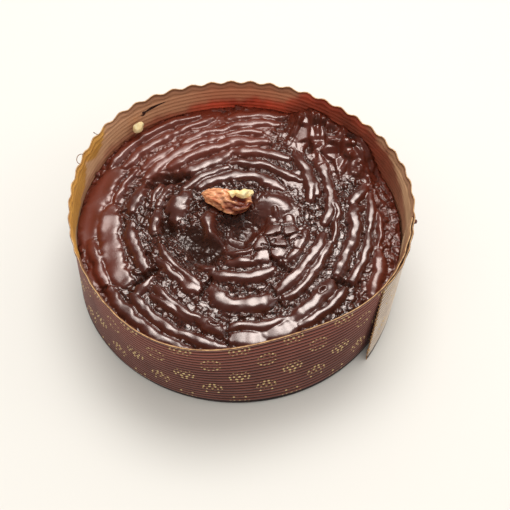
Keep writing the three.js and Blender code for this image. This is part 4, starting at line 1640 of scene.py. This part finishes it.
class BrownieNutSettings(bpy.types.PropertyGroup):
    """Sizes and colours of the nut kernel"""

    height: bpy.props.FloatProperty(
        name="Height", description="Height of the kernel", default=0.009, unit="LENGTH")
    skin_dark: bpy.props.StringProperty(
        name="Skin dark", description="Skin, dark", default="#B4562E")
    skin_light: bpy.props.StringProperty(
        name="Skin light", description="Skin, light", default="#FFBE88")
    # the skin's red-brown, also used as painted shade in the furrows, the broken hollow and on the front
    # side
    skin_furrow_and_shade: bpy.props.StringProperty(
        name="Furrow", description="In the furrows", default="#661F0C")
    flesh_dark: bpy.props.StringProperty(
        name="Flesh dark", description="Flesh, dark", default="#EAC47A")
    chip_dark: bpy.props.StringProperty(
        name="Chip dark", description="Flesh of the chip, dark", default="#E8C684")
    flesh_light: bpy.props.StringProperty(
        name="Flesh light", description="Flesh, light", default="#FDEEBC")


class BrownieStageSettings(bpy.types.PropertyGroup):
    """Floor, light and camera"""

    floor: bpy.props.StringProperty(
        name="Floor", description="Pale floor", default="#DCD9D2")
    fill: bpy.props.FloatProperty(
        name="Fill", description="Even light from the white walls", default=0.94)
    bright: bpy.props.FloatProperty(
        name="Bright side", description="What the gloss shows behind the cake", default=0.08)
    dim: bpy.props.FloatProperty(
        name="Dim side", description="What the gloss shows behind the camera", default=0.04)
    softbox: bpy.props.FloatProperty(
        name="Softbox", description="Power of the softbox above the cake", default=9.5, unit="POWER")
    window: bpy.props.FloatProperty(
        name="Window", description="Power of the window that the gloss mirrors", default=5.9, unit="POWER")
    glow: bpy.props.FloatProperty(
        name="Glow", description="Power of the glow round the window", default=12.5, unit="POWER")
    window_tint: bpy.props.StringProperty(
        name="Window tint", description="Colour of the window's light", default="#FFF5EE")
    key: bpy.props.FloatProperty(
        name="Key", description="Power of the key light from the right", default=0.8, unit="POWER")
    distance: bpy.props.FloatProperty(
        name="Distance", description="Camera to the point it looks at", default=0.465165, unit="LENGTH")
    elevation: bpy.props.FloatProperty(
        name="Elevation", description="Camera above the horizon",
        default=math.radians(55.329), subtype="ANGLE")
    roll: bpy.props.FloatProperty(
        name="Roll", description="Camera turned about its own axis",
        default=math.radians(1.021), subtype="ANGLE")
    aim: bpy.props.FloatVectorProperty(
        name="Aim", description="Point in the middle of the picture",
        default=(0.009246, 0.004184, 0.0), subtype="XYZ")
    lens: bpy.props.FloatProperty(
        name="Lens", description="Focal length on a 36 mm sensor, in mm", default=60.0, unit="CAMERA")


# Operators


class BROWNIE_OT_case(bpy.types.Operator):
    """Winds the ribbed paper strip into the case and finishes its bottom disc"""

    bl_idname = "brownie.case"
    bl_label = "Paper case"

    def execute(self, context):
        add_case_base(context.scene.brownie_case)
        add_case_wall(context.scene.brownie_case)
        return {"FINISHED"}


class BROWNIE_OT_cake(bpy.types.Operator):
    """Models the cake with its piped rings, cracks, crumb and lifted crust"""

    bl_idname = "brownie.cake"
    bl_label = "Cake"

    def execute(self, context):
        add_cake(context.scene.brownie_cake, context.scene.brownie_case)
        return {"FINISHED"}


class BROWNIE_OT_nut(bpy.types.Operator):
    """Models the nut kernel, its broken flesh and the chip on the wall"""

    bl_idname = "brownie.nut"
    bl_label = "Nut"

    def execute(self, context):
        add_nut(context.scene.brownie_nut)
        add_nut_flesh(context.scene.brownie_nut)
        return {"FINISHED"}


class BROWNIE_OT_scraps(bpy.types.Operator):
    """Adds the smear of chocolate on the wall, and the crumbs and curls of paper on the rim"""

    bl_idname = "brownie.scraps"
    bl_label = "Smear and crumbs"

    def execute(self, context):
        add_smear(context.scene.brownie_case, context.scene.brownie_cake)
        add_rim_crumb(context.scene.brownie_case, context.scene.brownie_cake)
        add_paper_curls(context.scene.brownie_case)
        return {"FINISHED"}


class BROWNIE_OT_stage(bpy.types.Operator):
    """Adds the floor, the soft light and the camera"""

    bl_idname = "brownie.stage"
    bl_label = "Stage"

    def execute(self, context):
        stage = context.scene.brownie_stage
        add_floor(stage)
        add_lights(context.scene, stage)
        add_camera(context.scene, stage)
        return {"FINISHED"}


# Sidebar, registration and run


class BROWNIE_PT_sidebar(bpy.types.Panel):
    """Lists the steps of the brownie cake"""

    bl_idname = "BROWNIE_PT_sidebar"
    bl_label = "Brownie cake"
    bl_space_type = "VIEW_3D"
    bl_region_type = "UI"
    bl_category = "Brownie cake"

    def draw(self, context):
        for operator in OPERATORS:
            self.layout.operator(operator.bl_idname)


SETTINGS = {
    "brownie_case": BrownieCaseSettings,
    "brownie_cake": BrownieCakeSettings,
    "brownie_nut": BrownieNutSettings,
    "brownie_stage": BrownieStageSettings,
}
OPERATORS = (BROWNIE_OT_case, BROWNIE_OT_cake, BROWNIE_OT_nut, BROWNIE_OT_scraps, BROWNIE_OT_stage)


def register():
    """Registers the settings, the operators and the sidebar."""
    for name, group in SETTINGS.items():
        bpy.utils.register_class(group)
        setattr(bpy.types.Scene, name, bpy.props.PointerProperty(type=group))
    for operator in OPERATORS:
        bpy.utils.register_class(operator)
    bpy.utils.register_class(BROWNIE_PT_sidebar)


def unregister():
    """Takes them all away again, in the opposite order."""
    bpy.utils.unregister_class(BROWNIE_PT_sidebar)
    for operator in reversed(OPERATORS):
        bpy.utils.unregister_class(operator)
    for name, group in reversed(SETTINGS.items()):
        delattr(bpy.types.Scene, name)
        bpy.utils.unregister_class(group)


def main():
    register()
    bpy.ops.brownie.case()
    bpy.ops.brownie.cake()
    bpy.ops.brownie.nut()
    bpy.ops.brownie.scraps()
    bpy.ops.brownie.stage()


if __name__ == "__main__":
    main()
